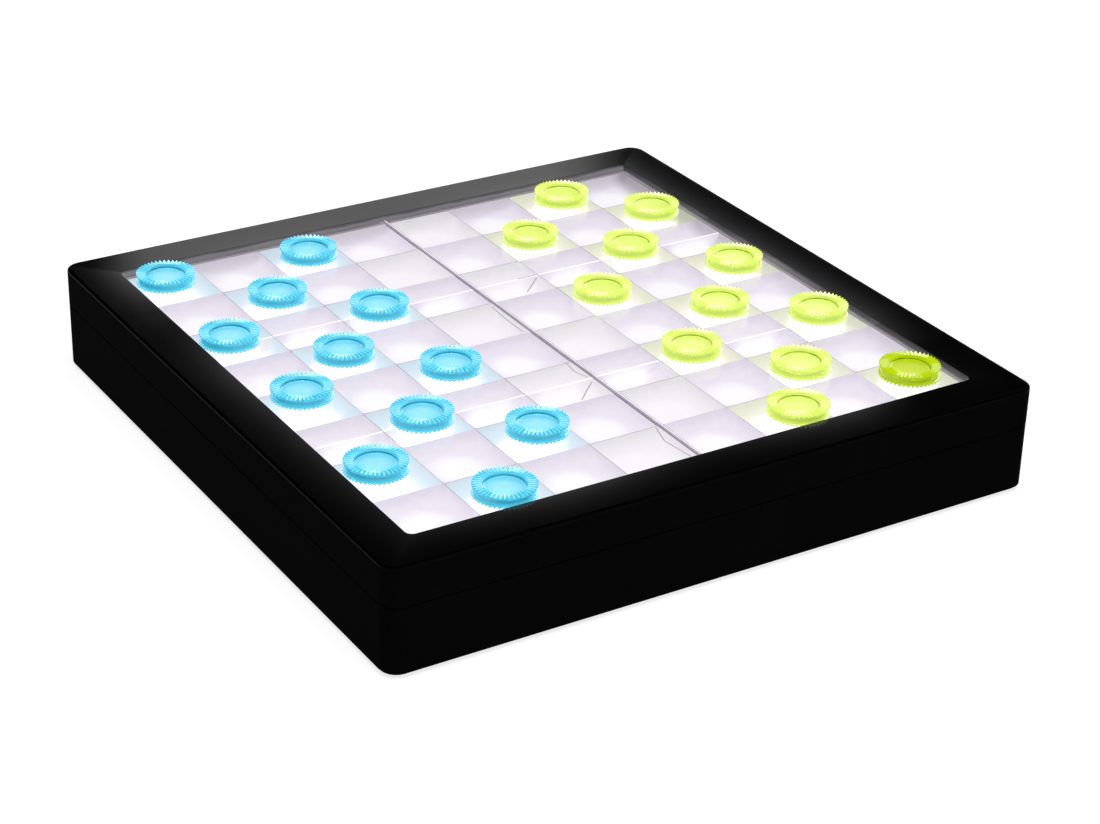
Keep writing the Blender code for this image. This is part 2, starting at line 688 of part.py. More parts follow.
def make_battery_door(material):
    """A flat door flush with the base, with a tongue along each side and grip grooves at its outer end."""
    front_y = BAY_FRONT_Y + GAP
    length = HOUSING_HALF - BASE_EDGE_RADIUS - front_y
    half = BAY_HALF - GAP
    tongue = half + RAIL_GROOVE_DEPTH
    low = BASE_Z
    high = FLOOR_Z - GAP
    tongue_low = BASE_Z + RAIL_LIP + GAP
    tongue_high = RAIL_TOP_Z - GAP
    outline = [
        (-half, low),
        (half, low),
        (half, tongue_low),
        (tongue, tongue_low),
        (tongue, tongue_high),
        (half, tongue_high),
        (half, high),
        (-half, high),
        (-half, tongue_high),
        (-tongue, tongue_high),
        (-tongue, tongue_low),
        (-half, tongue_low),
    ]
    bm = bmesh.new()
    add_loft(bm, [[(x, y, z - low) for x, z in outline] for y in (0.0, length)])
    door = place("battery_door", make_mesh("battery_door", bm, material), (0, front_y, low))
    grooves = bmesh.new()
    side = half - GRIP_SIDE_MARGIN
    for number in range(GRIP_GROOVES):
        y = HOUSING_HALF - GRIP_INSET - number * GRIP_GROOVE_PITCH
        corner = (side, y + GRIP_GROOVE_WIDTH, low + GRIP_GROOVE_DEPTH)
        add_box(grooves, (-side, y, low - OVERLAP), corner)
    cut(door, grooves)


def make_switch(body_material, slider_material):
    """The body behind the back wall, with a pin at each end, and the slider that is held between them."""
    bm = bmesh.new()
    half_x = SWITCH_BODY[0] / 2
    half_z = SWITCH_BODY[2] / 2
    add_box(bm, *switch_pocket(half_x, half_z, SWITCH_FRONT_Y, SWITCH_BACK_Y))
    body = make("switch_body", bm, body_material)
    pins = bmesh.new()
    pin = SWITCH_PIN / 2
    for side in (-1, 1):
        ends = sorted((side * (half_x - OVERLAP), side * SWITCH_PIN_X))
        low = (SWITCH_X + ends[0], SWITCH_PIN_Y - pin, SWITCH_Z - pin)
        add_box(pins, low, (SWITCH_X + ends[1], SWITCH_PIN_Y + pin, SWITCH_Z + pin))
    union(body, pins)
    slide_x, slide_y, slide_z = SWITCH_SLIDE
    pocket = bmesh.new()
    pocket_y = SWITCH_BACK_Y - slide_y - GAP
    pocket_x = (slide_x + SWITCH_TRAVEL) / 2 + GAP
    add_box(pocket, *switch_pocket(pocket_x, slide_z / 2 + GAP, pocket_y, SWITCH_BACK_Y + OVERLAP))
    cut(body, pocket)

    # At rest the slider stands at the lit end of its travel, towards +X
    knob_x, knob_z = SWITCH_KNOB[0] / 2, SWITCH_KNOB[1] / 2
    back = SWITCH_BACK_Y
    bm = bmesh.new()
    add_box(bm, (-slide_x / 2, -slide_y, -slide_z / 2), (slide_x / 2, 0, slide_z / 2))
    mesh = make_mesh("switch_slider", bm, slider_material)
    slider = place("switch_slider", mesh, (SWITCH_X + SWITCH_TRAVEL / 2, back, SWITCH_Z))
    knob = bmesh.new()
    reach = HOUSING_HALF - SWITCH_KNOB_RECESS - back
    add_box(knob, (-knob_x, -slide_y / 2, -knob_z), (knob_x, reach, knob_z))
    helper_offset = Matrix.Translation(slider.location)
    bmesh.ops.transform(knob, matrix=helper_offset, verts=knob.verts)
    union(slider, knob)


def make_screws(material):
    head = SCREW_HEAD_DIAMETER / 2
    shaft = SCREW_DIAMETER / 2
    profile = (
        (head, -SCREW_HEAD_HEIGHT),
        (head, 0.0),
        (shaft, 0.0),
        (shaft, SCREW_LENGTH),
    )
    bm = bmesh.new()
    add_turned(bm, profile, SMALL_SIDES)
    mesh = make_mesh("case_screw", bm, material)
    for number, (x, y) in enumerate(screw_places(), start=1):
        place(f"case_screw_{number}", mesh, (x, y, SCREW_SEAT_Z - GAP))


def foot_places():
    reach = HOUSING_HALF - FOOT_INSET
    return [(x, y) for x in (-reach, reach) for y in (-reach, reach)]


def make_feet(material):
    radius = FOOT_DIAMETER / 2
    profile = (
        (radius - FOOT_CHAMFER, 0.0),
        (radius, FOOT_CHAMFER),
        (radius, FOOT_HEIGHT + FOOT_RECESS - GAP),
    )
    bm = bmesh.new()
    add_turned(bm, profile, ROUND_SIDES)
    mesh = make_mesh("foot", bm, material)
    for number, (x, y) in enumerate(foot_places(), start=1):
        place(f"foot_{number}", mesh, (x, y, 0))


def smooth_route(points):
    """Points at an even step along a smooth curve through the given ones."""
    points = [Vector(point) for point in points]
    route = [points[0]]
    for i in range(len(points) - 1):
        before = points[max(i - 1, 0)]
        start, end = points[i], points[i + 1]
        after = points[min(i + 2, len(points) - 1)]
        steps = max(2, round((end - start).length / LEAD_STEP))
        for step in range(1, steps + 1):
            t = step / steps
            bend = (end - before) * t + (2 * before - 5 * start + 4 * end - after) * t**2
            route.append(start + (bend + (3 * start - before - 3 * end + after) * t**3) / 2)
    return route


def make_lead(name, points, material):
    """A round insulated wire along a smooth curve through the points."""
    route = smooth_route(points)
    curve = bpy.data.curves.new(name, "CURVE")
    curve.dimensions = "3D"
    curve.bevel_depth = LEAD_DIAMETER / 2
    curve.bevel_resolution = 2
    curve.use_fill_caps = True
    spline = curve.splines.new("POLY")
    spline.points.add(len(route) - 1)
    for point, spot in zip(spline.points, route):
        point.co = (*spot, 1)
    curve.materials.append(material)
    place(name, curve)


def make_leads(red, black):
    board_z = LAMP_BOARD_Z - GAP
    under_z = TRAY_Z - LEAD_DIAMETER

    # From the positive tab along the back wall to the near end of the switch
    tab_y = BAY_BACK_Y - 2 * GAP - CONTACT_THICKNESS
    tab_z = BAY_TOP_Z + CONTACT_TAB_REACH / 2
    pin_x = SWITCH_X - SWITCH_PIN_X - GAP
    channel_y = SWITCH_PIN_Y - 0.0020
    positive = (
        (CELL_PITCH, tab_y, tab_z),
        (CELL_PITCH, tab_y - 0.0025, tab_z),
        (CELL_PITCH + 0.0030, channel_y, tab_z),
        (BAY_SIDE + 0.0015, channel_y, tab_z - 0.0010),
        (pin_x - 0.0100, SWITCH_PIN_Y - 0.0010, SWITCH_Z + 0.0020),
        (pin_x - 0.0030, SWITCH_PIN_Y, SWITCH_Z),
        (pin_x, SWITCH_PIN_Y, SWITCH_Z),
    )
    make_lead("lead_battery_to_switch", positive, red)

    # From the far end of the switch under the tray and up to the right lamp board
    pin_x = SWITCH_X + SWITCH_PIN_X + GAP
    x, y = SWITCHED_HOLE
    switched = (
        (pin_x, SWITCH_PIN_Y, SWITCH_Z),
        (pin_x + 0.0030, SWITCH_PIN_Y, SWITCH_Z),
        (x - 0.0020, SWITCH_PIN_Y - 0.0030, SWITCH_Z - 0.0005),
        (x, SWITCH_PIN_Y - 0.0120, SWITCH_Z - 0.0010),
        (x, y + 0.0120, SWITCH_Z),
        (x, y + 0.0030, under_z - 0.0030),
        (x, y, under_z + LEAD_DIAMETER),
        (x, y, board_z),
    )
    make_lead("lead_switch_to_board", switched, red)

    # From the negative tab forward under the tray and up to the left lamp board
    x, y = NEGATIVE_HOLE
    start_y = BAY_FRONT_Y - BAY_WALL - CONTACT_TAB_REACH - GAP
    start_z = TAB_Z + CONTACT_THICKNESS / 2
    negative = (
        (-CELL_PITCH, start_y, start_z),
        (-CELL_PITCH, start_y - 0.0030, start_z),
        (x + 0.0010, y + 0.0090, start_z - 0.0010),
        (x, y + 0.0025, under_z - 0.0030),
        (x, y, under_z + LEAD_DIAMETER),
        (x, y, board_z),
    )
    make_lead("lead_battery_to_board", negative, black)

    # The link that bridges the two lamp boards
    low_z = LAMP_BOARD_TOP_Z + GAP
    link = (
        (-LINK_REACH, LINK_Y, low_z),
        (-LINK_REACH, LINK_Y, low_z + LINK_RISE / 2),
        (-LINK_REACH / 2, LINK_Y, low_z + LINK_RISE),
        (LINK_REACH / 2, LINK_Y, low_z + LINK_RISE),
        (LINK_REACH, LINK_Y, low_z + LINK_RISE / 2),
        (LINK_REACH, LINK_Y, low_z),
    )
    make_lead("lead_board_link", link, black)


def build():
    clear_scene()
    root = bpy.data.objects.new("board", None)
    bpy.context.scene.collection.objects.link(root)

    black_plastic = finish("black_plastic", (0.006, 0.006, 0.007), 0.28)
    clear_plastic = finish("clear_plastic", (0.95, 0.93, 0.97), 0.04, transmission=1.0)
    make_upper_housing(black_plastic)
    make_lower_housing(black_plastic)
    make_play_panel("play_panel_left", -1, clear_plastic)
    make_play_panel("play_panel_right", 1, clear_plastic)
    make_seam_strip(finish("seam_grey", (0.16, 0.13, 0.18), 0.5))
    make_diffuser(finish("diffuser_white", (0.90, 0.88, 0.93), 0.6))
    make_reflector_tray(finish("reflector_white", (0.85, 0.85, 0.85), 0.5))

    board_white = finish("lamp_board_white", (0.75, 0.76, 0.74), 0.45)
    make_lamp_board("lamp_board_left", -1, board_white)
    make_lamp_board("lamp_board_right", 1, board_white)

    blue = finish("checker_blue", (0.02, 0.52, 0.80), 0.05, transmission=0.9)
    yellow = finish("checker_yellow", (0.60, 0.90, 0.03), 0.05, transmission=0.9)
    make_checkers("blue", BLUE_PLACES, blue)
    make_checkers("yellow", YELLOW_PLACES, yellow)

    plated_steel = finish("plated_steel", (0.62, 0.62, 0.60), 0.25, metallic=1.0)
    make_cells(finish("cell_jacket", (0.10, 0.12, 0.14), 0.35, metallic=0.4))
    make_contacts(plated_steel)
    make_battery_door(black_plastic)
    make_switch(
        finish("switch_housing", (0.30, 0.30, 0.31), 0.4, metallic=0.8),
        finish("switch_knob_black", (0.012, 0.012, 0.012), 0.4),
    )
    make_screws(plated_steel)
    make_feet(finish("foot_rubber", (0.02, 0.02, 0.02), 0.85))
    make_leads(
        finish("lead_red", (0.55, 0.02, 0.02), 0.45),
        finish("lead_black", (0.015, 0.015, 0.015), 0.45),
    )


build()
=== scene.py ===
import json
import math

import bmesh
import bpy
from mathutils import Matrix, Vector

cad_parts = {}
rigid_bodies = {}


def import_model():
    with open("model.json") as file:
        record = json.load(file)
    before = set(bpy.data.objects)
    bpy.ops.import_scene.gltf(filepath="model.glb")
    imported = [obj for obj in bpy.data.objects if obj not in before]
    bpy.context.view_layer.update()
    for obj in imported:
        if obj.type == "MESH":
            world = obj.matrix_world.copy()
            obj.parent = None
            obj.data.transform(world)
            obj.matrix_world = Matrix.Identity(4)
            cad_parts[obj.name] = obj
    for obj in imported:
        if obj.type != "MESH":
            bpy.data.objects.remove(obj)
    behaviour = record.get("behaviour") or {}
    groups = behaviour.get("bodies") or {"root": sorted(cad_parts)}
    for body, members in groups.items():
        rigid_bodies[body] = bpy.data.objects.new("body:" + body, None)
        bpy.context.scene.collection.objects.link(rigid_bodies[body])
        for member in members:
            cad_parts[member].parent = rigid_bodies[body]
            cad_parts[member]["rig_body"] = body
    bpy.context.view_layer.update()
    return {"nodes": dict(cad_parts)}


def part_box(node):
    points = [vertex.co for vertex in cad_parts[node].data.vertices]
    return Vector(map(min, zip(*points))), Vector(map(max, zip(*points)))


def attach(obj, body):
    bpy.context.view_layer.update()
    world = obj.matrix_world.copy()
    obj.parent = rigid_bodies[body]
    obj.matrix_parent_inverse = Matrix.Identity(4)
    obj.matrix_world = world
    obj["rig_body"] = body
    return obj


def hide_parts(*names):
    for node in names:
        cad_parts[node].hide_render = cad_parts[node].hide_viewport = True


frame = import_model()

# Lit checkers board: black case, clear field over light cups, toothed clear checkers.
# All sizes are in metres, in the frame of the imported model.

MM = 0.001

# Squares of the field
SQUARE_SIDE = 32.5 * MM
SQUARES = 8
FIELD_HALF = SQUARE_SIDE * SQUARES / 2
MIDDLE_NUMBER = (SQUARES + 1) / 2
WINDOW_MARGIN = 0.9 * MM
WINDOW_HALF = FIELD_HALF + WINDOW_MARGIN
WINDOW_CORNER_RADIUS = 3.0 * MM
WINDOW_EDGE_RADIUS = 0.3 * MM
WINDOW_LIP = 0.12 * MM

# Case shells
CASE_CORNER_RADIUS = 7.3 * MM
CASE_WALL = 2.5 * MM
BEZEL_THICKNESS = 2.4 * MM
TOP_EDGE_RADIUS = 1.2 * MM
PARTING_EDGE_RADIUS = 0.35 * MM
SUPPORT_LOOP = 0.25 * MM
CASE_CORNER_STEPS = 14
PARTING_STEPS = 3
EDGE_STEPS = 6
CASE_GRAIN = 0.04 * MM
BLACK_STOPS = [(0.3, (0.0075, 0.0075, 0.0078)), (0.7, (0.0105, 0.0105, 0.011))]

# Light that the field throws on the bezel and on the window's walls, by place along each strip
GLOW_HALVING = 5.0 * MM
GLOW_WAVE = 2.0 * math.pi / (4.0 * SQUARE_SIDE)
FRONT_DARK = (70.0 * MM, 100.0 * MM)
LEFT_NEAR = (-130.0 * MM, -20.0 * MM)
LEFT_BLEND = (-20.0 * MM, 8.0 * MM)
LEFT_PHASE = -0.4
RIGHT_RISE = (-98.0 * MM, -60.0 * MM)
WALL_START = 0.02 * MM
WALL_END = (0.8 * MM, 1.2 * MM)
REAR_WALL_SHARE = 0.6
RIGHT_WALL_MIDDLE = (12.0 * MM, 45.0 * MM)
WALL_STOPS = [(0.35, (0.11, 0.108, 0.115)), (0.9, (0.18, 0.17, 0.19)), (1.0, (0.3, 0.285, 0.31))]

# Smooth shading, in degrees, and the finish of the pieces that follow the CAD
SMOOTH_ANGLE = 32.0
PANEL_SMOOTH_ANGLE = 20.0
CUP_SMOOTH_ANGLE = 60.0
CHECKER_SMOOTH_ANGLE = 24.0
DRESSED_SMOOTH_ANGLE = 35.0
DRESSED_WELD = 0.002 * MM
FLAT_ANGLE = 0.5
FLAT_WEIGHT = 100
BEVEL_ANGLE = 50.0
BEVEL_SEGMENTS = 2
DOOR_BEVEL = 0.25 * MM
FOOT_BEVEL = 0.2 * MM
SCREW_BEVEL = 0.1 * MM
CELL_BEVEL = 0.15 * MM
PLASTIC_GRAIN = 0.05 * MM
METAL_GRAIN = 0.03 * MM
CELL_BAND = (14.0 * MM, 14.2 * MM)
SWITCH_BEVEL = 0.1 * MM
KNOB_BEVEL = 0.15 * MM
FEET = 4
SCREWS = 6
CELLS = 3

# Clear panels, with a thin block moulded under every tinted square; the blocks' front and left faces
# carry a painted shade line
PAD_HEIGHT = 0.2 * MM
PAD_SLOPE = 0.04 * MM
PAD_INSET = 0.05 * MM
PAD_CORNER_RADIUS = 0.6 * MM
PAD_CORNER_STEPS = 5
SEAM_REACH = 1.0 * MM
SEAM_TRIM = 0.06 * MM
LEFT_ROWS = (1, 2, 3, 4)
RIGHT_ROWS = (5, 6, 7, 8)

# Seam bar between the panels: its section in shares of half its width and of its height
SEAM_HALF = 0.68 * MM
SEAM_STEPS = 16
SEAM_SECTION = (
    (-1.0, 0.0), (-1.0, 0.86), (-0.8, 0.96), (0.0, 1.0), (0.8, 0.96), (1.0, 0.86), (1.0, 0.0)
)
CROWN_SHIFT = 0.42 * MM
CROWN_HALF = 0.24 * MM
CROWN_REACH = 0.46 * MM

# Light cups under the panels
CUP_RIM = 0.2 * MM
CUP_CORNER_RADIUS = 2.0 * MM
CUP_FLOOR_RADIUS = 7.0 * MM
CUP_WALL_LEAN = 5.0 * MM
TINTED_CUP_DEPTH = 4.7 * MM
PALE_CUP_DEPTH = 6.0 * MM
CUP_CORNER_STEPS = 6
CUP_SIDE_SPANS = 6
CUP_WALL_RINGS = 9
CUP_FLOOR_RINGS = 6
CUP_WELD = 0.001 * MM
RIM_STEP = 0.02 * MM
# The rim round the field glows dim and grey: painted shade under the bezel.
RIM_GLOW = 0.3
RIM_PAINTED_SHADE = (0.4, 0.39, 0.41, 1.0)
GLOW_SHIFT = Vector((-1.5 * MM, -1.5 * MM))
EDGE_GLOW = 0.2
TINTED_FALL = (0.4, 5.0 * MM, 15.0 * MM)
PALE_FALL = (0.3, 6.0 * MM, 18.0 * MM)
CUP_STRENGTH = 1.11
TINTED_STOPS = [
    (0.0, (0.64, 0.59, 0.69)),
    (0.3, (0.72, 0.67, 0.77)),
    (0.6, (0.81, 0.77, 0.86)),
    (1.0, (0.98, 0.965, 1.0)),
]
PALE_STOPS = [
    (0.0, (0.66, 0.64, 0.67)),
    (0.3, (0.75, 0.73, 0.755)),
    (0.6, (0.83, 0.8, 0.835)),
    (1.0, (0.94, 0.9, 0.95)),
]

# Painted light tinted by the checkers, and the painted shade by the right and rear edges of the field
TINTED_LIGHT_BOOST = 1.3
TINTED_LIGHT_FADE = (8.0 * MM, 18.0 * MM)
BLUE_LIGHT_TINT = (0.8, 0.98, 1.06)
YELLOW_LIGHT_TINT = (0.97, 1.02, 0.8)
RIGHT_SHADE = 0.14
CORNER_SHADE = 0.36
CORNER_SPAN = (-20.0 * MM, 130.0 * MM)
RIGHT_SHADE_REACH = 8.0 * MM
REAR_SHADE_REACH = 7.0 * MM
TINTED_REAR_SHADE = 0.2
PALE_REAR_SHADE = 0.07

# Ribs across the cups of two columns
RIB_THICKNESS = 0.7 * MM
RIB_COLUMNS = (3, 6)
RIB_STEPS = 12
RIB_GAP = 0.02 * MM
RIB_FOOT_SPREAD = 1.5
RIB_FOOT = 0.98
RIB_SHOULDER = 0.3 * MM
RIB_CROWN = 0.02 * MM
RIB_CROWN_LIGHT = 0.9
RIB_END_LIGHT = 0.25
RIB_MIDDLE = 0.35
RIB_STRENGTH = 1.3
# Painted highlight along the rib crowns, from lilac to white
RIB_STOPS = [(0.0, (0.6, 0.55, 0.65)), (0.5, (0.8, 0.77, 0.84)), (1.0, (1.0, 1.0, 1.0))]

# Fine folds in the diffuser's skin, dark by a dim painted glow, as runs of places in millimetres
CREASE_GAP = 0.21 * MM
CREASE_WIDTH = 0.55 * MM
CREASE_HEIGHT = 0.07 * MM
CREASE_LIGHT = 0.3
CREASE_STOPS = [(0.0, (0.42, 0.39, 0.46)), (1.0, (0.62, 0.58, 0.66))]
CREASE_LINES = (
    ((-2.0, 29.6), (-3.0, 15.3), (-3.0, 1.9)),
    ((-2.6, -31.9), (-3.8, -40.8), (-1.6, -47.6)),
    ((-1.8, -98.2), (-4.8, -109.0), (-2.9, -125.1)),
    ((-2.5, -51.9), (-8.6, -57.6), (-14.6, -63.5)),
    ((30.3, 46.1), (24.6, 40.6), (19.0, 35.2)),
    ((22.5, 49.0), (27.5, 49.0), (32.0, 49.0)),
)

# Checkers
TEETH = 42
DISH_RINGS = 3
TOOTH_START = 9.3 * MM
TOOTH_STEPS = 4
TOOTH_DEPTH = 0.9 * MM
TOOTH_NOTCH = 0.6 * MM
TOOTH_RIM = 0.5 * MM
TOOTH_CROWN = 0.6 * MM
LOW_TOOTH_SHARE = 0.4
VALLEY_LIFT = 0.04
DISH_DEPTH = 2.08 * MM
CHECKER_TURN = math.radians(17.0)
CLEAR_INDEX = 1.49
DISH_INDEX = 1.08
# One checker is painted darker and deeper in tone, as painted shade.
PAINTED_SHADE_TINT = (0.71, 0.77, 0.02, 1.0)
SHADED_CHECKERS = ("yellow_checker_12",)
BLUE_STOPS = [
    (0.0, (0.02, 0.16, 0.22)),
    (0.14, (0.06, 0.44, 0.6)),
    (0.36, (0.1, 0.6, 0.75)),
    (0.62, (0.34, 0.8, 0.87)),
    (1.0, (0.9, 1.0, 1.0)),
]
BLUE_DISH_STOPS = [
    (0.0, (0.02, 0.16, 0.22)),
    (0.3, (0.18, 0.6, 0.74)),
    (0.6, (0.35, 0.74, 0.84)),
    (1.0, (0.75, 0.93, 0.97)),
]
YELLOW_STOPS = [
    (0.0, (0.16, 0.16, 0.02)),
    (0.14, (0.6, 0.78, 0.135)),
    (0.36, (0.7, 0.82, 0.19)),
    (0.62, (0.78, 0.84, 0.29)),
    (1.0, (0.93, 0.94, 0.62)),
]
YELLOW_DISH_STOPS = [
    (0.0, (0.16, 0.16, 0.02)),
    (0.3, (0.63, 0.72, 0.2)),
    (0.6, (0.68, 0.76, 0.23)),
    (1.0, (0.74, 0.81, 0.3)),
]

# Lamps: place, aim, width, height, watts
OVERHEAD = ((-0.15, -0.35, 1.7), (0.0, 0.0, 0.0), 1.5, 1.2, 20.0)
FRONT_FILL = ((0.45, -1.5, 1.1), (0.0, 0.0, 0.03), 0.9, 0.7, 2.4)
REAR_FILL = ((1.3, 1.5, 0.3), (0.0, 0.0, 0.02), 1.6, 0.5, 14.0)
SIDE_CARD = ((1.41, 0.51, 0.52), (0.0, 0.0, 0.05), 1.9, 1.2, 32.0)
LEFT_CARD = ((-0.21, 1.49, 0.52), (0.0, 0.0, 0.05), 1.4, 1.2, 10.0)
WORLD_STRENGTH = 0.012

# Cards behind the board: place, aim, left and right ends, watts for each square metre
REAR_CARD_PLACE = Vector((0.839, 1.731, 0.675))
REAR_CARD_AIM = Vector((0.349, 0.114, 0.675))
REAR_CARD_ENDS = (
    (-0.322, 0.301), (-0.307, 0.278), (-0.299, 0.263), (-0.288, 0.245), (-0.278, 0.217)
)
REAR_CARD_HEIGHT = 0.4
REAR_CARD_STEP = 0.01
REAR_CARD_POWER = 0.7

# Camera, at the photograph's place
CAMERA_PLACE = Vector((-0.5344, -0.8682, 0.5339))
CAMERA_AIM = Vector((0.47178, 0.75204, -0.46029))
CAMERA_ROLL = math.radians(1.478)
CAMERA_LENS = 87.46
CAMERA_SENSOR = 36.0
CAMERA_CLIP = (0.01, 100.0)

# Floor
FLOOR_HALF = 9.0
FLOOR_CELLS = 8
FLOOR_GLOW = 0.8


# Shader helpers

def add(tree, kind, inputs=None, **settings):
    """One shader node; an input is a number, a colour or another node's output."""
    node = tree.nodes.new("ShaderNode" + kind)
    for key, value in settings.items():
        setattr(node, key, value)
    for key, value in (inputs or {}).items():
        if isinstance(value, bpy.types.NodeSocket):
            tree.links.new(value, node.inputs[key])
        else:
            node.inputs[key].default_value = value
    return node


def calc(tree, operation, first, second=0.0, clamp=False):
    node = add(tree, "Math", {0: first, 1: second}, operation=operation, use_clamp=clamp)
    return node.outputs[0]


def between(tree, factor, first, second):
    """A value part of the way from one to another."""
    return add(tree, "Mix", {0: factor, 2: first, 3: second}).outputs[0]


def spread(tree, value, low, high, to_low=0.0, to_high=1.0):
    """A value carried from one range to another, held at the ends."""
    inputs = {"Value": value, "From Min": low, "From Max": high, "To Min": to_low, "To Max": to_high}
    return add(tree, "MapRange", inputs).outputs["Result"]


def ramp(tree, value, stops):
    node = add(tree, "ValToRGB", {"Fac": value})
    band = node.color_ramp
    while len(band.elements) < len(stops):
        band.elements.new(0.5)
    for element, (place, colour) in zip(band.elements, stops):
        element.position = place
        element.color = (*colour, 1.0)
    return node.outputs["Color"]


def blend(tree, factor, first, second, kind="MIX"):
    node = add(tree, "Mix", {0: factor, 6: first, 7: second}, data_type="RGBA", blend_type=kind)
    return node.outputs[2]


def noise(tree, where, scale, detail=3.0, roughness=0.55, stretch=None):
    if stretch:
        where = add(tree, "Mapping", {"Vector": where, "Scale": stretch}).outputs["Vector"]
    inputs = {"Vector": where, "Scale": scale, "Detail": detail, "Roughness": roughness}
    return add(tree, "TexNoise", inputs).outputs["Fac"]


def bump(tree, height, strength, distance):
    inputs = {"Height": height, "Strength": strength, "Distance": distance}
    return add(tree, "Bump", inputs).outputs["Normal"]


def new_shader(name, **inputs):
    """A principled material and its object coordinates."""
    material = bpy.data.materials.new(name)
    material.use_nodes = True
    tree = material.node_tree
    tree.nodes.clear()
    sockets = {key.replace("_", " "): value for key, value in inputs.items()}
    shader = add(tree, "BsdfPrincipled", sockets)
    output = add(tree, "OutputMaterial")
    tree.links.new(shader.outputs[0], output.inputs["Surface"])
    where = add(tree, "TexCoord").outputs["Object"]
    return material, tree, shader, where


def feed(tree, shader, **sockets):
    for key, value in sockets.items():
        tree.links.new(value, shader.inputs[key.replace("_", " ")])


# Materials

def case_side_material():
    material, tree, shader, where = new_shader("satin_black", Specular_IOR_Level=0.0006)
    cloud = noise(tree, where, 26.0, 4.0)
    grain = noise(tree, where, 2600.0, 2.0)
    wear = noise(tree, where, 190.0, 5.0, 0.7)
    colour = ramp(tree, cloud, BLACK_STOPS)
    scuff = spread(tree, wear, 0.66, 0.82, 0.0, 0.25)
    colour = blend(tree, scuff, colour, (0.024, 0.024, 0.025, 1.0))
    feed(tree, shader, Base_Color=colour)
    feed(tree, shader, Roughness=spread(tree, cloud, 0.3, 0.7, 0.38, 0.5))
    feed(tree, shader, Normal=bump(tree, grain, 0.12, CASE_GRAIN))
    return material


def case_edge_material():
    """The rounded outer edge of the bezel, rubbed matt, with a faint shine."""
    material, tree, shader, where = new_shader("rubbed_black", Specular_IOR_Level=0.02)
    cloud = noise(tree, where, 30.0, 4.0)
    rub = noise(tree, where, 700.0, 3.0, 0.65)
    colour = ramp(tree, cloud, BLACK_STOPS)
    colour = blend(tree, spread(tree, rub, 0.6, 0.8, 0.0, 0.3), colour, (0.012, 0.012, 0.0125, 1.0))
    feed(tree, shader, Base_Color=colour)
    feed(tree, shader, Roughness=spread(tree, rub, 0.3, 0.7, 0.16, 0.26))
    feed(tree, shader, Normal=bump(tree, rub, 0.08, CASE_GRAIN))
    return material


def case_top_material():
    """Polished black, with the light that the field throws on the inner edge of the bezel."""
    material, tree, shader, where = new_shader(
        "polished_black", Emission_Strength=1.0, Specular_IOR_Level=0.22
    )
    cloud = noise(tree, where, 34.0, 4.0)
    smear = noise(tree, where, 120.0, 4.0, 0.6, (1.0, 0.35, 1.0))
    dust = noise(tree, where, 1500.0, 1.0)
    specks = spread(tree, dust, 0.74, 0.8, 0.0, 0.3)
    colour = ramp(tree, cloud, [(0.3, (0.0008, 0.0008, 0.001)), (0.7, (0.0016, 0.0016, 0.0018))])
    colour = blend(tree, specks, colour, (0.02, 0.02, 0.021, 1.0))
    feed(tree, shader, Base_Color=colour)
    feed(tree, shader, Roughness=spread(tree, smear, 0.3, 0.7, 0.07, 0.09))
    feed(tree, shader, Normal=bump(tree, noise(tree, where, 900.0, 2.0), 0.05, CASE_GRAIN))
    axes = add(tree, "SeparateXYZ", {"Vector": where})
    across = calc(tree, "ABSOLUTE", axes.outputs["X"])
    along = calc(tree, "ABSOLUTE", axes.outputs["Y"])
    away = calc(tree, "SUBTRACT", calc(tree, "MAXIMUM", across, along), WINDOW_HALF)
    fade = calc(tree, "POWER", 0.5, calc(tree, "DIVIDE", away, GLOW_HALVING))
    beside = calc(tree, "GREATER_THAN", across, along)
    near = calc(tree, "MULTIPLY", fade, bezel_light(tree, axes, beside))
    near = calc(tree, "MULTIPLY", near, spread(tree, cloud, 0.3, 0.7, 0.85, 1.0))
    glow = ramp(tree, near, [(0.0, (0.0, 0.0, 0.0)), (1.0, (0.044, 0.043, 0.046))])
    wall, lit = wall_light(tree, where, axes, away)
    feed(tree, shader, Emission_Color=blend(tree, wall, glow, lit))
    return material


def bezel_light(tree, axes, beside):
    """The share of light along the bezel's strips, which beats with the squares."""
    x = axes.outputs["X"]
    y = axes.outputs["Y"]
    front = calc(tree, "COSINE", calc(tree, "MULTIPLY", x, GLOW_WAVE))
    front = spread(tree, front, 1.0, -1.0, 0.22, 0.75)
    dark_end = spread(tree, x, *FRONT_DARK, 1.0, 0.12)
    dark_end = calc(tree, "MAXIMUM", dark_end, calc(tree, "GREATER_THAN", y, 0.0))
    front = calc(tree, "MULTIPLY", front, dark_end)
    left = calc(tree, "ADD", calc(tree, "MULTIPLY", y, GLOW_WAVE), LEFT_PHASE)
    left = spread(tree, calc(tree, "COSINE", left), -1.0, 1.0, 0.18, 0.85)
    near_left = spread(tree, y, *LEFT_NEAR, 0.2, 0.62)
    left = between(tree, spread(tree, y, *LEFT_BLEND), near_left, left)
    right = spread(tree, y, *RIGHT_RISE, 0.06, 0.85)
    flank = between(tree, calc(tree, "GREATER_THAN", x, 0.0), left, right)
    return between(tree, beside, front, flank)


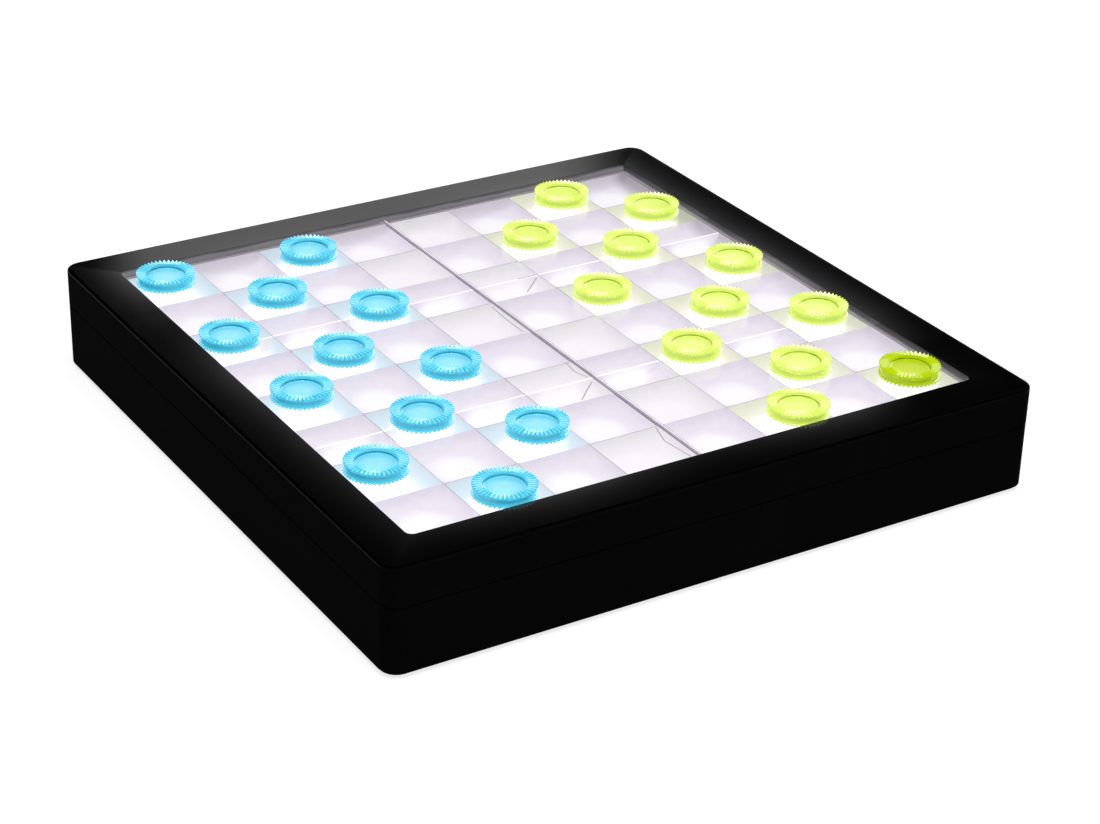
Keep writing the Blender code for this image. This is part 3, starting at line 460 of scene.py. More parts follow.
def wall_light(tree, where, axes, away):
    """Where the rear and right walls of the window are, and the light on them."""
    x = axes.outputs["X"]
    y = axes.outputs["Y"]
    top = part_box("upper_housing")[1].z
    drop = calc(tree, "SUBTRACT", top, axes.outputs["Z"])
    far_side = calc(tree, "MAXIMUM", x, y)
    wall = spread(tree, drop, 0.0, WALL_START)
    wall = calc(tree, "MULTIPLY", wall, spread(tree, away, *WALL_END, 1.0, 0.0))
    wall = calc(tree, "MULTIPLY", wall, calc(tree, "GREATER_THAN", far_side, WINDOW_HALF - MM))
    height = spread(tree, drop, 0.0, BEZEL_THICKNESS)
    lit = ramp(tree, calc(tree, "ADD", height, noise(tree, where, 55.0, 2.0)), WALL_STOPS)
    rightward = calc(tree, "GREATER_THAN", x, y)
    middle = spread(tree, calc(tree, "ABSOLUTE", y), *RIGHT_WALL_MIDDLE, 0.45, 0.16)
    share = between(tree, rightward, REAR_WALL_SHARE, middle)
    lit = add(tree, "VectorMath", {0: lit, "Scale": share}, operation="SCALE").outputs[0]
    return wall, lit


def clear_material():
    material, tree, shader, where = new_shader("clear_panel", Transmission_Weight=1.0, IOR=1.22)
    haze = noise(tree, where, 60.0, 4.0)
    colour = ramp(tree, haze, [(0.2, (0.985, 0.982, 0.99)), (0.8, (1.0, 1.0, 1.0))])
    feed(tree, shader, Base_Color=colour)
    feed(tree, shader, Roughness=spread(tree, haze, 0.3, 0.7, 0.0, 0.02))
    return material


def cup_material(name, stops, strength):
    """Lit white plastic: the glow of each point is painted into the mesh, with painted light tinted
    by the checkers and painted shade by the edges of the field.
    """
    material, tree, shader, where = new_shader(name, Roughness=0.6, Emission_Strength=strength)
    glow = add(tree, "Attribute", attribute_name="glow").outputs["Fac"]
    painted_light = add(tree, "Attribute", attribute_name="painted_light").outputs["Color"]
    cloud = noise(tree, where, 210.0, 3.0)
    level = calc(tree, "ADD", glow, spread(tree, cloud, 0.25, 0.75, -0.04, 0.04), clamp=True)
    colour = ramp(tree, level, stops)
    colour = blend(tree, 1.0, colour, painted_light, "MULTIPLY")
    feed(tree, shader, Emission_Color=colour)
    dull = ramp(tree, cloud, [(0.3, (0.1, 0.1, 0.1)), (0.7, (0.13, 0.13, 0.13))])
    feed(tree, shader, Base_Color=dull)
    material.cycles.emission_sampling = "NONE"
    return material


def pad_edge_shade_material():
    # Painted shade: a dark grey line, glowing faintly, for the front and left faces of the blocks
    # under the plates.
    material, tree, shader, where = new_shader(
        "seam_grey", Specular_IOR_Level=0.3, Emission_Strength=1.2
    )
    cloud = noise(tree, where, 300.0, 4.0, 0.6, (1.0, 0.2, 1.0))
    colour = ramp(tree, cloud, [(0.3, (0.2, 0.17, 0.22)), (0.7, (0.3, 0.26, 0.33))])
    feed(tree, shader, Base_Color=colour)
    feed(tree, shader, Roughness=spread(tree, cloud, 0.3, 0.7, 0.45, 0.65))
    feed(tree, shader, Emission_Color=colour)
    return material


def seam_bar_material():
    """Grey along its left edge, paler to the right, where the light of the cups comes through; both
    glow as painted light.
    """
    material, tree, shader, where = new_shader(
        "seam_crown", Specular_IOR_Level=0.3, Emission_Strength=1.2
    )
    cloud = noise(tree, where, 300.0, 4.0, 0.6, (1.0, 0.2, 1.0))
    crown = ramp(tree, cloud, [(0.3, (0.13, 0.11, 0.145)), (0.7, (0.2, 0.17, 0.22))])
    flank = ramp(tree, cloud, [(0.3, (0.54, 0.51, 0.58)), (0.7, (0.62, 0.59, 0.66))])
    axes = add(tree, "SeparateXYZ", {"Vector": where})
    away = calc(tree, "ABSOLUTE", calc(tree, "ADD", axes.outputs["X"], CROWN_SHIFT))
    colour = blend(tree, spread(tree, away, CROWN_HALF, CROWN_REACH), crown, flank)
    feed(tree, shader, Base_Color=colour)
    feed(tree, shader, Roughness=spread(tree, cloud, 0.3, 0.7, 0.45, 0.65))
    feed(tree, shader, Emission_Color=colour)
    return material


def checker_material(name, stops, index, transmission, strength):
    """Clear tinted plastic; the light held in its teeth, rim and dish is kept in the mesh."""
    material, tree, shader, where = new_shader(
        name, Transmission_Weight=transmission, IOR=index, Emission_Strength=strength
    )
    lit = add(tree, "Attribute", attribute_name="lit").outputs["Fac"]
    cloud = noise(tree, where, 260.0, 3.0)
    level = calc(tree, "ADD", lit, spread(tree, cloud, 0.25, 0.75, -0.05, 0.05), clamp=True)
    # Painted shade: a listed checker takes a darker, deeper colour.
    painted_shade = add(tree, "Attribute", attribute_type="OBJECT", attribute_name="painted_shade").outputs["Fac"]
    colour = blend(tree, painted_shade, ramp(tree, level, stops), PAINTED_SHADE_TINT, "MULTIPLY")
    feed(tree, shader, Base_Color=colour, Emission_Color=colour)
    feed(tree, shader, Roughness=spread(tree, cloud, 0.3, 0.7, 0.05, 0.14))
    return material


def plastic_material(name, low, high, roughness=0.45, grain=900.0, specular=0.4):
    material, tree, shader, where = new_shader(name, Specular_IOR_Level=specular)
    cloud = noise(tree, where, 60.0, 4.0)
    fine = noise(tree, where, grain, 2.0)
    feed(tree, shader, Base_Color=ramp(tree, cloud, [(0.3, low), (0.7, high)]))
    feed(tree, shader, Roughness=spread(tree, fine, 0.3, 0.7, roughness - 0.06, roughness + 0.06))
    feed(tree, shader, Normal=bump(tree, fine, 0.2, PLASTIC_GRAIN))
    return material


def tray_material():
    """White plastic that passes a little light; its rim shows at the foot of the window's walls."""
    material, tree, shader, where = new_shader("tray_white", Roughness=0.5, Emission_Strength=1.0)
    cloud = noise(tree, where, 60.0, 4.0)
    fine = noise(tree, where, 900.0, 2.0)
    white = ramp(tree, cloud, [(0.3, (0.72, 0.72, 0.71)), (0.7, (0.8, 0.8, 0.79))])
    glow = ramp(tree, cloud, [(0.3, (0.13, 0.125, 0.135)), (0.7, (0.17, 0.163, 0.175))])
    feed(tree, shader, Base_Color=white, Emission_Color=glow)
    feed(tree, shader, Normal=bump(tree, fine, 0.2, PLASTIC_GRAIN))
    return material


def metal_material(name, low, high, roughness=0.3):
    material, tree, shader, where = new_shader(name, Metallic=1.0)
    brushed = noise(tree, where, 900.0, 3.0, 0.6, (1.0, 0.08, 1.0))
    stain = noise(tree, where, 90.0, 4.0)
    feed(tree, shader, Base_Color=ramp(tree, stain, [(0.3, low), (0.7, high)]))
    feed(tree, shader, Roughness=spread(tree, brushed, 0.3, 0.7, roughness - 0.1, roughness + 0.1))
    feed(tree, shader, Normal=bump(tree, brushed, 0.1, METAL_GRAIN))
    return material


def jacket_material():
    """Cell sleeve: dark film with a copper band at each end."""
    material, tree, shader, where = new_shader("cell_sleeve", Specular_IOR_Level=0.5)
    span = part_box("battery_cell_1")
    middle = (span[0].x + span[1].x) / 2
    axes = add(tree, "SeparateXYZ", {"Vector": where})
    away = calc(tree, "ABSOLUTE", calc(tree, "SUBTRACT", axes.outputs["X"], middle))
    film = noise(tree, where, 160.0, 4.0)
    dark = ramp(tree, film, [(0.3, (0.012, 0.013, 0.016)), (0.7, (0.02, 0.022, 0.027))])
    band = spread(tree, away, *CELL_BAND)
    feed(tree, shader, Base_Color=blend(tree, band, dark, (0.22, 0.12, 0.05, 1.0)))
    feed(tree, shader, Roughness=spread(tree, film, 0.3, 0.7, 0.22, 0.34))
    return material


# Mesh helpers

def rounded_ring(low, high, radius, z, steps, spans=1):
    """Points of a rounded rectangle, seen from above, against the clock."""
    centres = (
        (high[0] - radius, low[1] + radius, -90.0),
        (high[0] - radius, high[1] - radius, 0.0),
        (low[0] + radius, high[1] - radius, 90.0),
        (low[0] + radius, low[1] + radius, 180.0),
    )
    corners = []
    for x, y, start in centres:
        angles = [math.radians(start + 90.0 * step / steps) for step in range(steps + 1)]
        corner = []
        for angle in angles:
            corner.append(Vector((x + radius * math.cos(angle), y + radius * math.sin(angle), z)))
        corners.append(corner)
    points = []
    for index, corner in enumerate(corners):
        points.extend(corner)
        following = corners[(index + 1) % 4][0]
        for span in range(1, spans):
            points.append(corner[-1].lerp(following, span / spans))
    return points


def square_ring(half, radius, z, steps):
    return rounded_ring((-half, -half), (half, half), radius, z, steps)


def bridge(bm, first, second, material=0):
    count = len(first)
    faces = []
    for index in range(count):
        after = (index + 1) % count
        face = bm.faces.new((first[index], first[after], second[after], second[index]))
        face.material_index = material
        faces.append(face)
    return faces


def close_bar(bm, loops):
    """A bar through a run of loops, closed at both ends; its side faces come back in order."""
    faces = []
    for first, second in zip(loops, loops[1:]):
        faces.extend(bridge(bm, first, second))
    bm.faces.new(loops[0])
    bm.faces.new(loops[-1])
    return faces


def new_piece(name, bm, materials, body, angle=SMOOTH_ANGLE):
    """A finished mesh object that rides on a body, smooth but for its sharp edges."""
    bmesh.ops.recalc_face_normals(bm, faces=bm.faces)
    mesh = bpy.data.meshes.new(name)
    bm.to_mesh(mesh)
    bm.free()
    mesh.shade_smooth()
    mesh.set_sharp_from_angle(angle=math.radians(angle))
    for material in materials:
        mesh.materials.append(material)
    piece = bpy.data.objects.new(name, mesh)
    bpy.context.scene.collection.objects.link(piece)
    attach(piece, body)
    return piece


def shade_flat_walls(piece):
    """Large flat faces keep their own shading beside rounded corners."""
    shading = piece.modifiers.new("shading", "WEIGHTED_NORMAL")
    shading.mode = "FACE_AREA"
    shading.weight = FLAT_WEIGHT
    shading.keep_sharp = True


def dressed(name, material, bevel=0.0):
    """A finely edged copy of a CAD node, standing for it."""
    source = frame["nodes"][name]
    bm = bmesh.new()
    bm.from_mesh(source.data)
    bmesh.ops.remove_doubles(bm, verts=bm.verts, dist=DRESSED_WELD)
    flat = math.radians(FLAT_ANGLE)
    bmesh.ops.dissolve_limit(bm, angle_limit=flat, verts=bm.verts, edges=bm.edges)
    piece = new_piece("fine_" + name, bm, [material], source["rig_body"], DRESSED_SMOOTH_ANGLE)
    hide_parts(name)
    if bevel:
        edge = piece.modifiers.new("edge", "BEVEL")
        edge.width = bevel
        edge.segments = BEVEL_SEGMENTS
        edge.limit_method = "ANGLE"
        edge.angle_limit = math.radians(BEVEL_ANGLE)
        edge.harden_normals = True
    else:
        shade_flat_walls(piece)
    return piece


# Case

def make_upper_shell(side, top, rubbed):
    """Rings of rounded squares, from the parting line over the bezel, into the window and back."""
    low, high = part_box("upper_housing")
    half = high.x
    under = high.z - BEZEL_THICKNESS
    rings = []

    def outer(inset, z, material):
        rings.append((half - inset, CASE_CORNER_RADIUS - inset, z, material))

    for step in range(PARTING_STEPS + 1):
        turn = math.radians(90.0 * step / PARTING_STEPS)
        rise = PARTING_EDGE_RADIUS * (1.0 - math.cos(turn))
        outer(PARTING_EDGE_RADIUS * (1.0 - math.sin(turn)), low.z + rise, 0)
    outer(0.0, low.z + PARTING_EDGE_RADIUS + SUPPORT_LOOP, 0)
    outer(0.0, high.z - TOP_EDGE_RADIUS - SUPPORT_LOOP, 0)
    for step in range(EDGE_STEPS + 1):
        turn = math.radians(90.0 * step / EDGE_STEPS)
        drop = TOP_EDGE_RADIUS * (1.0 - math.sin(turn))
        outer(TOP_EDGE_RADIUS * (1.0 - math.cos(turn)), high.z - drop, 2)
    outer(TOP_EDGE_RADIUS + SUPPORT_LOOP, high.z, 1)
    edge = WINDOW_HALF + WINDOW_EDGE_RADIUS
    corner = WINDOW_CORNER_RADIUS + WINDOW_EDGE_RADIUS
    rings.append((edge + SUPPORT_LOOP, corner + SUPPORT_LOOP, high.z, 1))
    for step in range(EDGE_STEPS + 1):
        turn = math.radians(90.0 * step / EDGE_STEPS)
        inset = WINDOW_EDGE_RADIUS * math.sin(turn)
        drop = WINDOW_EDGE_RADIUS * (1.0 - math.cos(turn))
        rings.append((edge - inset, corner - inset, high.z - drop, 1))
    rings.append((WINDOW_HALF, WINDOW_CORNER_RADIUS, under - WINDOW_LIP, 1))
    rings.append((half - CASE_WALL, CASE_CORNER_RADIUS - CASE_WALL, under, 0))
    rings.append((half - CASE_WALL, CASE_CORNER_RADIUS - CASE_WALL, low.z, 0))
    bm = bmesh.new()
    loops = []
    for size, radius, z, material in rings:
        ring = square_ring(size, radius, z, CASE_CORNER_STEPS)
        loops.append([bm.verts.new(point) for point in ring])
    for index, loop in enumerate(loops):
        following = loops[(index + 1) % len(loops)]
        bridge(bm, loop, following, rings[index][3])
    piece = new_piece("upper_shell", bm, [side, top, rubbed], "case")
    shade_flat_walls(piece)
    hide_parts("upper_housing")
    return piece


# Clear field

def square_middle(row, column):
    return Vector(((row - MIDDLE_NUMBER) * SQUARE_SIDE, (MIDDLE_NUMBER - column) * SQUARE_SIDE))


def is_tinted(row, column):
    return (row + column) % 2 == 1


def make_panel(name, rows, material, edge):
    """One clear plate, with a thin square block under each of its tinted squares; its edge material
    is a painted shade line on the blocks' front and left faces.
    """
    low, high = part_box(name)
    xs = [square_middle(row, 1).x - SQUARE_SIDE / 2 for row in rows]
    xs.append(xs[-1] + SQUARE_SIDE)
    xs = [min(max(x, low.x), high.x) for x in xs]
    ys = [(index - SQUARES // 2) * SQUARE_SIDE for index in range(SQUARES + 1)]
    if low.x < 0:
        xs = [low.x] + xs
    else:
        xs = xs + [high.x]
    ys = [low.y] + ys + [high.y]
    xs = [x - math.copysign(SEAM_TRIM, x) if abs(x) < SEAM_REACH else x for x in xs]
    first_row = rows[0] - 1 if low.x < 0 else rows[0]
    bm = bmesh.new()
    upper = [[bm.verts.new((x, y, high.z)) for y in ys] for x in xs]
    lower = [[bm.verts.new((x, y, low.z)) for y in ys] for x in xs]
    for i in range(len(xs) - 1):
        for j in range(len(ys) - 1):
            bm.faces.new((upper[i][j], upper[i + 1][j], upper[i + 1][j + 1], upper[i][j + 1]))
            corners = (lower[i][j], lower[i + 1][j], lower[i + 1][j + 1], lower[i][j + 1])
            row = first_row + i
            column = SQUARES + 1 - j
            inside = row in rows and 1 <= column <= SQUARES
            if inside and is_tinted(row, column):
                add_pad(bm, corners, low.z)
            else:
                bm.faces.new(corners)
    border = [(i, 0) for i in range(len(xs))]
    border += [(len(xs) - 1, j) for j in range(1, len(ys))]
    border += [(i, len(ys) - 1) for i in reversed(range(len(xs) - 1))]
    border += [(0, j) for j in reversed(range(1, len(ys) - 1))]
    bridge(bm, [upper[i][j] for i, j in border], [lower[i][j] for i, j in border])
    piece = new_piece("clear_" + name, bm, [material, edge], "case", PANEL_SMOOTH_ANGLE)
    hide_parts(name)
    return piece


def add_pad(bm, corners, z):
    low = (corners[0].co.x + PAD_INSET, corners[0].co.y + PAD_INSET)
    high = (corners[2].co.x - PAD_INSET, corners[2].co.y - PAD_INSET)
    ring = rounded_ring(low, high, PAD_CORNER_RADIUS, z, PAD_CORNER_STEPS)
    foot = [bm.verts.new(point) for point in ring]
    low = (low[0] + PAD_SLOPE, low[1] + PAD_SLOPE)
    high = (high[0] - PAD_SLOPE, high[1] - PAD_SLOPE)
    radius = PAD_CORNER_RADIUS - PAD_SLOPE
    ring = rounded_ring(low, high, radius, z - PAD_HEIGHT, PAD_CORNER_STEPS)
    crown = [bm.verts.new(point) for point in ring]
    # Painted shade: the front and left faces of the block take the edge material, as a dark outline.
    for face in bridge(bm, foot, crown):
        middle = face.calc_center_median()
        near = middle.x - low[0] < PAD_CORNER_RADIUS or middle.y - low[1] < PAD_CORNER_RADIUS
        face.material_index = 1 if near else 0
    bm.faces.new(crown)
    per_corner = PAD_CORNER_STEPS + 1
    middle = PAD_CORNER_STEPS // 2
    turns = [foot[index * per_corner:(index + 1) * per_corner] for index in range(4)]
    order = (corners[1], corners[2], corners[3], corners[0])
    for index in range(4):
        after = (index + 1) % 4
        run = turns[index][middle:] + turns[after][:middle + 1]
        bm.faces.new([order[index], order[after]] + list(reversed(run)))


def smooth_step(value, low, high):
    part = min(max((value - low) / (high - low), 0.0), 1.0)
    return part * part * (3.0 - 2.0 * part)


def make_cups(tinted, pale, tinted_lights):
    """The diffuser: one dished light cup under each square."""
    low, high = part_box("diffuser_sheet")
    bm = bmesh.new()
    glow = bm.verts.layers.float.new("glow")
    painted_light = bm.verts.layers.float_color.new("painted_light")
    for row in range(1, SQUARES + 1):
        for column in range(1, SQUARES + 1):
            add_cup(bm, glow, painted_light, row, column, high.z, tinted_lights.get((row, column)))
    bmesh.ops.remove_doubles(bm, verts=bm.verts, dist=CUP_WELD)
    add_skirt(bm, glow, painted_light, high, low.z)
    piece = new_piece("light_cups", bm, [tinted, pale], "case", CUP_SMOOTH_ANGLE)
    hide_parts("diffuser_sheet")


def add_skirt(bm, glow, painted_light, high, bottom):
    """A rim round the field of cups, a wall down from it and a flat bottom, all dimmed as painted
    shade under the bezel.
    """
    border = {vert for edge in bm.edges if edge.is_boundary for vert in edge.verts}
    loop = sorted(border, key=lambda vert: math.atan2(vert.co.y, vert.co.x))
    for reach, z in ((FIELD_HALF + RIM_STEP, high.z), (high.x, high.z), (high.x, bottom)):
        grown = []
        for x, y, _ in [vert.co for vert in loop]:
            x = math.copysign(reach, x) if abs(x) > FIELD_HALF - RIM_STEP else x
            y = math.copysign(reach, y) if abs(y) > FIELD_HALF - RIM_STEP else y
            vert = bm.verts.new((x, y, z))
            vert[glow] = RIM_GLOW
            vert[painted_light] = RIM_PAINTED_SHADE
            grown.append(vert)
        bridge(bm, loop, grown, 1)
        loop = grown
    bm.faces.new(loop).material_index = 1


def cup_shape():
    """The rings of a cup, from its rim down: half width, corner radius, share of the depth."""
    half = SQUARE_SIDE / 2
    reach = half - CUP_RIM
    shape = [(half, 0.0, 0.0), (reach, CUP_CORNER_RADIUS, 0.0)]
    for step in range(1, CUP_WALL_RINGS + 1):
        turn = math.radians(90.0 * step / CUP_WALL_RINGS)
        inset = CUP_WALL_LEAN * (1.0 - math.cos(turn))
        part = step / CUP_WALL_RINGS
        radius = CUP_CORNER_RADIUS + (CUP_FLOOR_RADIUS - CUP_CORNER_RADIUS) * part
        shape.append((reach - inset, radius, math.sin(turn)))
    floor = reach - CUP_WALL_LEAN
    for step in range(1, CUP_FLOOR_RINGS):
        size = floor * (1.0 - step / CUP_FLOOR_RINGS)
        shape.append((size, CUP_FLOOR_RADIUS * size / floor, 1.0))
    return shape


def add_cup(bm, glow, painted_light, row, column, z, tinted_light):
    """One cup, with the painted light and the painted tint of every point kept in the mesh."""
    middle = square_middle(row, column)
    tinted = is_tinted(row, column)
    depth = TINTED_CUP_DEPTH if tinted else PALE_CUP_DEPTH
    kind = 0 if tinted else 1
    loops = []
    for size, radius, sunk in cup_shape():
        low = (middle.x - size, middle.y - size)
        high = (middle.x + size, middle.y + size)
        ring = rounded_ring(low, high, radius, z - depth * sunk, CUP_CORNER_STEPS, CUP_SIDE_SPANS)
        loops.append(([bm.verts.new(point) for point in ring], sunk))
    for (first, _), (second, _) in zip(loops, loops[1:]):
        bridge(bm, first, second, kind)
    heart = bm.verts.new((middle.x, middle.y, z - depth))
    last = loops[-1][0]
    for index, vert in enumerate(last):
        face = bm.faces.new((vert, last[(index + 1) % len(last)], heart))
        face.material_index = kind
    for loop, sunk in loops + [([heart], 1.0)]:
        for vert in loop:
            away = (vert.co.xy - middle - GLOW_SHIFT).length
            fall, start, end = TINTED_FALL if tinted else PALE_FALL
            light = 1.0 - fall * smooth_step(away, start, end)
            vert[glow] = light * (EDGE_GLOW + (1.0 - EDGE_GLOW) * smooth_step(sunk, 0.0, 1.0))
            light_wash = [1.0, 1.0, 1.0]
            # Painted light: the square under a checker glows whiter close to it and takes the
            # checker's tint further out.
            if tinted_light:
                part = smooth_step(away, *TINTED_LIGHT_FADE)
                light_wash = [TINTED_LIGHT_BOOST * (1.0 - part) + tone * part for tone in tinted_light]
            shade = border_shade(vert.co, TINTED_REAR_SHADE if tinted else PALE_REAR_SHADE)
            vert[painted_light] = (light_wash[0] * shade, light_wash[1] * shade, light_wash[2] * shade, 1.0)


def border_shade(place, rear):
    """The field dims by its right and rear edges, most in the far corner."""
    beside = 1.0 - smooth_step(FIELD_HALF - place.x, 0.0, RIGHT_SHADE_REACH)
    behind = 1.0 - smooth_step(FIELD_HALF - place.y, 0.0, REAR_SHADE_REACH)
    corner = smooth_step(place.y, *CORNER_SPAN)
    return (1.0 - (RIGHT_SHADE + CORNER_SHADE * corner) * beside) * (1.0 - rear * behind)


def make_ribs(tinted, pale, white):
    """Upright ribs across the cups of two columns; a painted highlight on their crowns shows as fine
    bright lines, and one face is painted lighter than the other.
    """
    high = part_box("diffuser_sheet")[1]
    bm = bmesh.new()
    glow = bm.verts.layers.float.new("glow")
    painted_light = bm.verts.layers.float_color.new("painted_light")
    for column in RIB_COLUMNS:
        for row in range(1, SQUARES + 1):
            middle = square_middle(row, column)
            kind = 0 if is_tinted(row, column) else 1
            add_rib(bm, glow, painted_light, middle, high.z, kind)
    piece = new_piece("cup_ribs", bm, [tinted, pale, white], "case")


def add_rib(bm, glow, painted_light, middle, z, kind):
    """One rib; its section lists the place across, the drop, the painted light and the material."""
    half = RIB_THICKNESS / 2
    foot = half * RIB_FOOT_SPREAD
    floor = TINTED_CUP_DEPTH if kind == 0 else PALE_CUP_DEPTH
    # The rib's front face, toward negative y, is painted lighter than its rear face: painted light
    # and shade.
    section = (
        (-foot, -floor * RIB_FOOT, 0.95, kind),
        (-half, -floor * 0.5, 0.85, kind),
        (-half, -RIB_SHOULDER, 0.7, kind),
        (-half, -RIB_CROWN, RIB_CROWN_LIGHT, 2),
        (half, -RIB_CROWN, RIB_CROWN_LIGHT, kind),
        (half, -RIB_SHOULDER, 0.3, kind),
        (half, -floor * 0.5, 0.5, kind),
        (foot, -floor * RIB_FOOT, 0.8, kind),
    )
    loops = []
    for step in range(RIB_STEPS + 1):
        part = 2.0 * step / RIB_STEPS - 1.0
        share = 1.0 - (1.0 - RIB_END_LIGHT) * smooth_step(abs(part), RIB_MIDDLE, 1.0)
        loop = []
        for across, drop, light, _ in section:
            place = (middle.x + part * (SQUARE_SIDE / 2 - RIB_GAP), middle.y + across, z + drop)
            vert = bm.verts.new(place)
            vert[glow] = light if drop == -RIB_CROWN else light * share
            vert[painted_light] = (1.0, 1.0, 1.0, 1.0)
            loop.append(vert)
        loops.append(loop)
    for face, (_, _, _, material) in zip(close_bar(bm, loops), section * RIB_STEPS):
        face.material_index = material


def make_creases(shade):
    """Fine folds in the diffuser's skin, glowing dimly as painted shade, which show as thin dark
    lines by the seam and the ribs.
    """
    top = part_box("play_panel_left")[0].z - CREASE_GAP
    bm = bmesh.new()
    glow = bm.verts.layers.float.new("glow")
    painted_light = bm.verts.layers.float_color.new("painted_light")
    for line in CREASE_LINES:
        points = [Vector((x * MM, y * MM)) for x, y in line]
        loops = []
        for index, point in enumerate(points):
            before = points[max(index - 1, 0)]
            after = points[min(index + 1, len(points) - 1)]
            course = (after - before).normalized()
            aside = Vector((-course.y, course.x)) * CREASE_WIDTH / 2
            loop = []
            for shift, drop in ((-1.0, CREASE_HEIGHT), (0.0, 0.0), (1.0, CREASE_HEIGHT)):
                vert = bm.verts.new((*(point + aside * shift), top - drop))
                vert[glow] = CREASE_LIGHT
                vert[painted_light] = (1.0, 1.0, 1.0, 1.0)
                loop.append(vert)
            loops.append(loop)
        close_bar(bm, loops)
    piece = new_piece("skin_creases", bm, [shade], "case")


def make_seam(material):
    """The bar between the plates, with a low crown."""
    low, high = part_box("seam_strip")
    height = high.z - low.z
    bm = bmesh.new()
    loops = []
    for step in range(SEAM_STEPS + 1):
        y = low.y + (high.y - low.y) * step / SEAM_STEPS
        points = [(across * SEAM_HALF, y, low.z + height * up) for across, up in SEAM_SECTION]
        loops.append([bm.verts.new(point) for point in points])
    close_bar(bm, loops)
    piece = new_piece("seam_bar", bm, [material], "case")
    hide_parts("seam_strip")


# Checkers

def checker_profile(rim, top):
    """Upper half of the outline: radius, height, share of tooth, light on a ridge and in a valley."""
    return [
        (2.5 * MM, top - 2.06 * MM, 0.0, 0.62, 0.62),
        (4.8 * MM, top - 2.02 * MM, 0.0, 0.56, 0.56),
        (6.6 * MM, top - 1.95 * MM, 0.0, 0.48, 0.48),
        (7.75 * MM, top - 1.9 * MM, 0.0, 0.44, 0.44),
        (8.0 * MM, top - 1.86 * MM, 0.0, 0.1, 0.1),
        (8.3 * MM, top - 1.74 * MM, 0.0, 0.0, 0.0),
        (8.45 * MM, top - 1.5 * MM, 0.0, 0.04, 0.04),
        (8.55 * MM, top - 1.2 * MM, 0.0, 0.34, 0.32),
        (8.72 * MM, top - 0.7 * MM, 0.0, 0.52, 0.44),
        (8.86 * MM, top - 0.2 * MM, 0.2, 0.62, 0.4),
        (8.98 * MM, top - 0.04 * MM, 0.42, 0.68, 0.34),
        (TOOTH_START, top, 0.45, 0.7, 0.28),
        (10.2 * MM, top, 0.6, 0.7, 0.24),
        (11.2 * MM, top, 0.76, 0.7, 0.22),
        (rim - 0.4 * MM, top, 1.0, 0.72, 0.2),
        (rim - 0.1 * MM, top - 0.06 * MM, 1.0, 0.72, 0.2),
        (rim, top - 0.3 * MM, 1.0, 0.62, 0.22),
        (rim - 0.06 * MM, top - 0.7 * MM, 0.6, 0.46, 0.24),
        (rim - 0.2 * MM, top - 1.0 * MM, 0.0, 0.42, 0.36),
        (rim - 0.7 * MM, top - 1.2 * MM, 0.0, 0.4, 0.4),
        (rim - 0.85 * MM, top - 1.45 * MM, 0.0, 0.26, 0.26),
        (rim - 0.85 * MM, 0.1 * MM, 0.0, 0.22, 0.22),
    ]


def checker_mesh(diameter, height):
    """A turned disc, dished on both faces, with a crown of teeth along both rims."""
    rim = diameter / 2
    top = height / 2
    count = TEETH * TOOTH_STEPS
    bm = bmesh.new()
    lit = bm.verts.layers.float.new("lit")

    def ring(radius, z, tooth, ridge, valley, up):
        points = []
        for index in range(count):
            part = (index % TOOTH_STEPS) / TOOTH_STEPS
            low = 1.0 - abs(2.0 * part - 1.0)
            reach = radius
            if radius > rim - TOOTH_RIM:
                reach -= TOOTH_NOTCH * tooth * low
            turn = 2.0 * math.pi * index / count
            share = 1.0 if z > top - TOOTH_CROWN else LOW_TOOTH_SHARE
            drop = TOOTH_DEPTH * tooth * low * share
            vert = bm.verts.new((reach * math.cos(turn), reach * math.sin(turn), (z - drop) * up))
            vert[lit] = ridge if low == 0.0 else valley + VALLEY_LIFT * (1.0 - low)
            points.append(vert)
        return points

    half = checker_profile(rim, top)
    loops = [ring(*row, 1.0) for row in half] + [ring(*row, -1.0) for row in reversed(half)]
    for index, (first, second) in enumerate(zip(loops, loops[1:])):
        dish = index < DISH_RINGS or index >= len(loops) - 1 - DISH_RINGS
        bridge(bm, first, second, 1 if dish else 0)
    for loop, level in ((loops[0], top - DISH_DEPTH), (loops[-1], DISH_DEPTH - top)):
        heart = bm.verts.new((0.0, 0.0, level))
        heart[lit] = half[0][3]
        for index, vert in enumerate(loop):
            bm.faces.new((vert, loop[(index + 1) % count], heart)).material_index = 1
    bmesh.ops.recalc_face_normals(bm, faces=bm.faces)
    mesh = bpy.data.meshes.new("toothed_checker")
    bm.to_mesh(mesh)
    bm.free()
    mesh.shade_smooth()
    mesh.set_sharp_from_angle(angle=math.radians(CHECKER_SMOOTH_ANGLE))
    return mesh


def make_checkers(blue, yellow):
    """A toothed disc for each CAD checker; all of one colour share a mesh."""
    pieces = []
    for colour, materials in (("blue", blue), ("yellow", yellow)):
        names = sorted(name for name in frame["nodes"] if name.startswith(colour + "_checker_"))
        low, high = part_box(names[0])
        mesh = checker_mesh(high.x - low.x, high.z - low.z)
        for material in materials:
            mesh.materials.append(material)
        for index, name in enumerate(names):
            low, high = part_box(name)
            piece = bpy.data.objects.new("toothed_" + name, mesh)
            piece.location = (low + high) / 2
            piece.rotation_euler = (0.0, 0.0, CHECKER_TURN * index)
            bpy.context.scene.collection.objects.link(piece)
            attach(piece, frame["nodes"][name]["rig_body"])
            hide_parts(name)
            piece["painted_shade"] = 1.0 if name in SHADED_CHECKERS else 0.0
            pieces.append(piece)
    return pieces


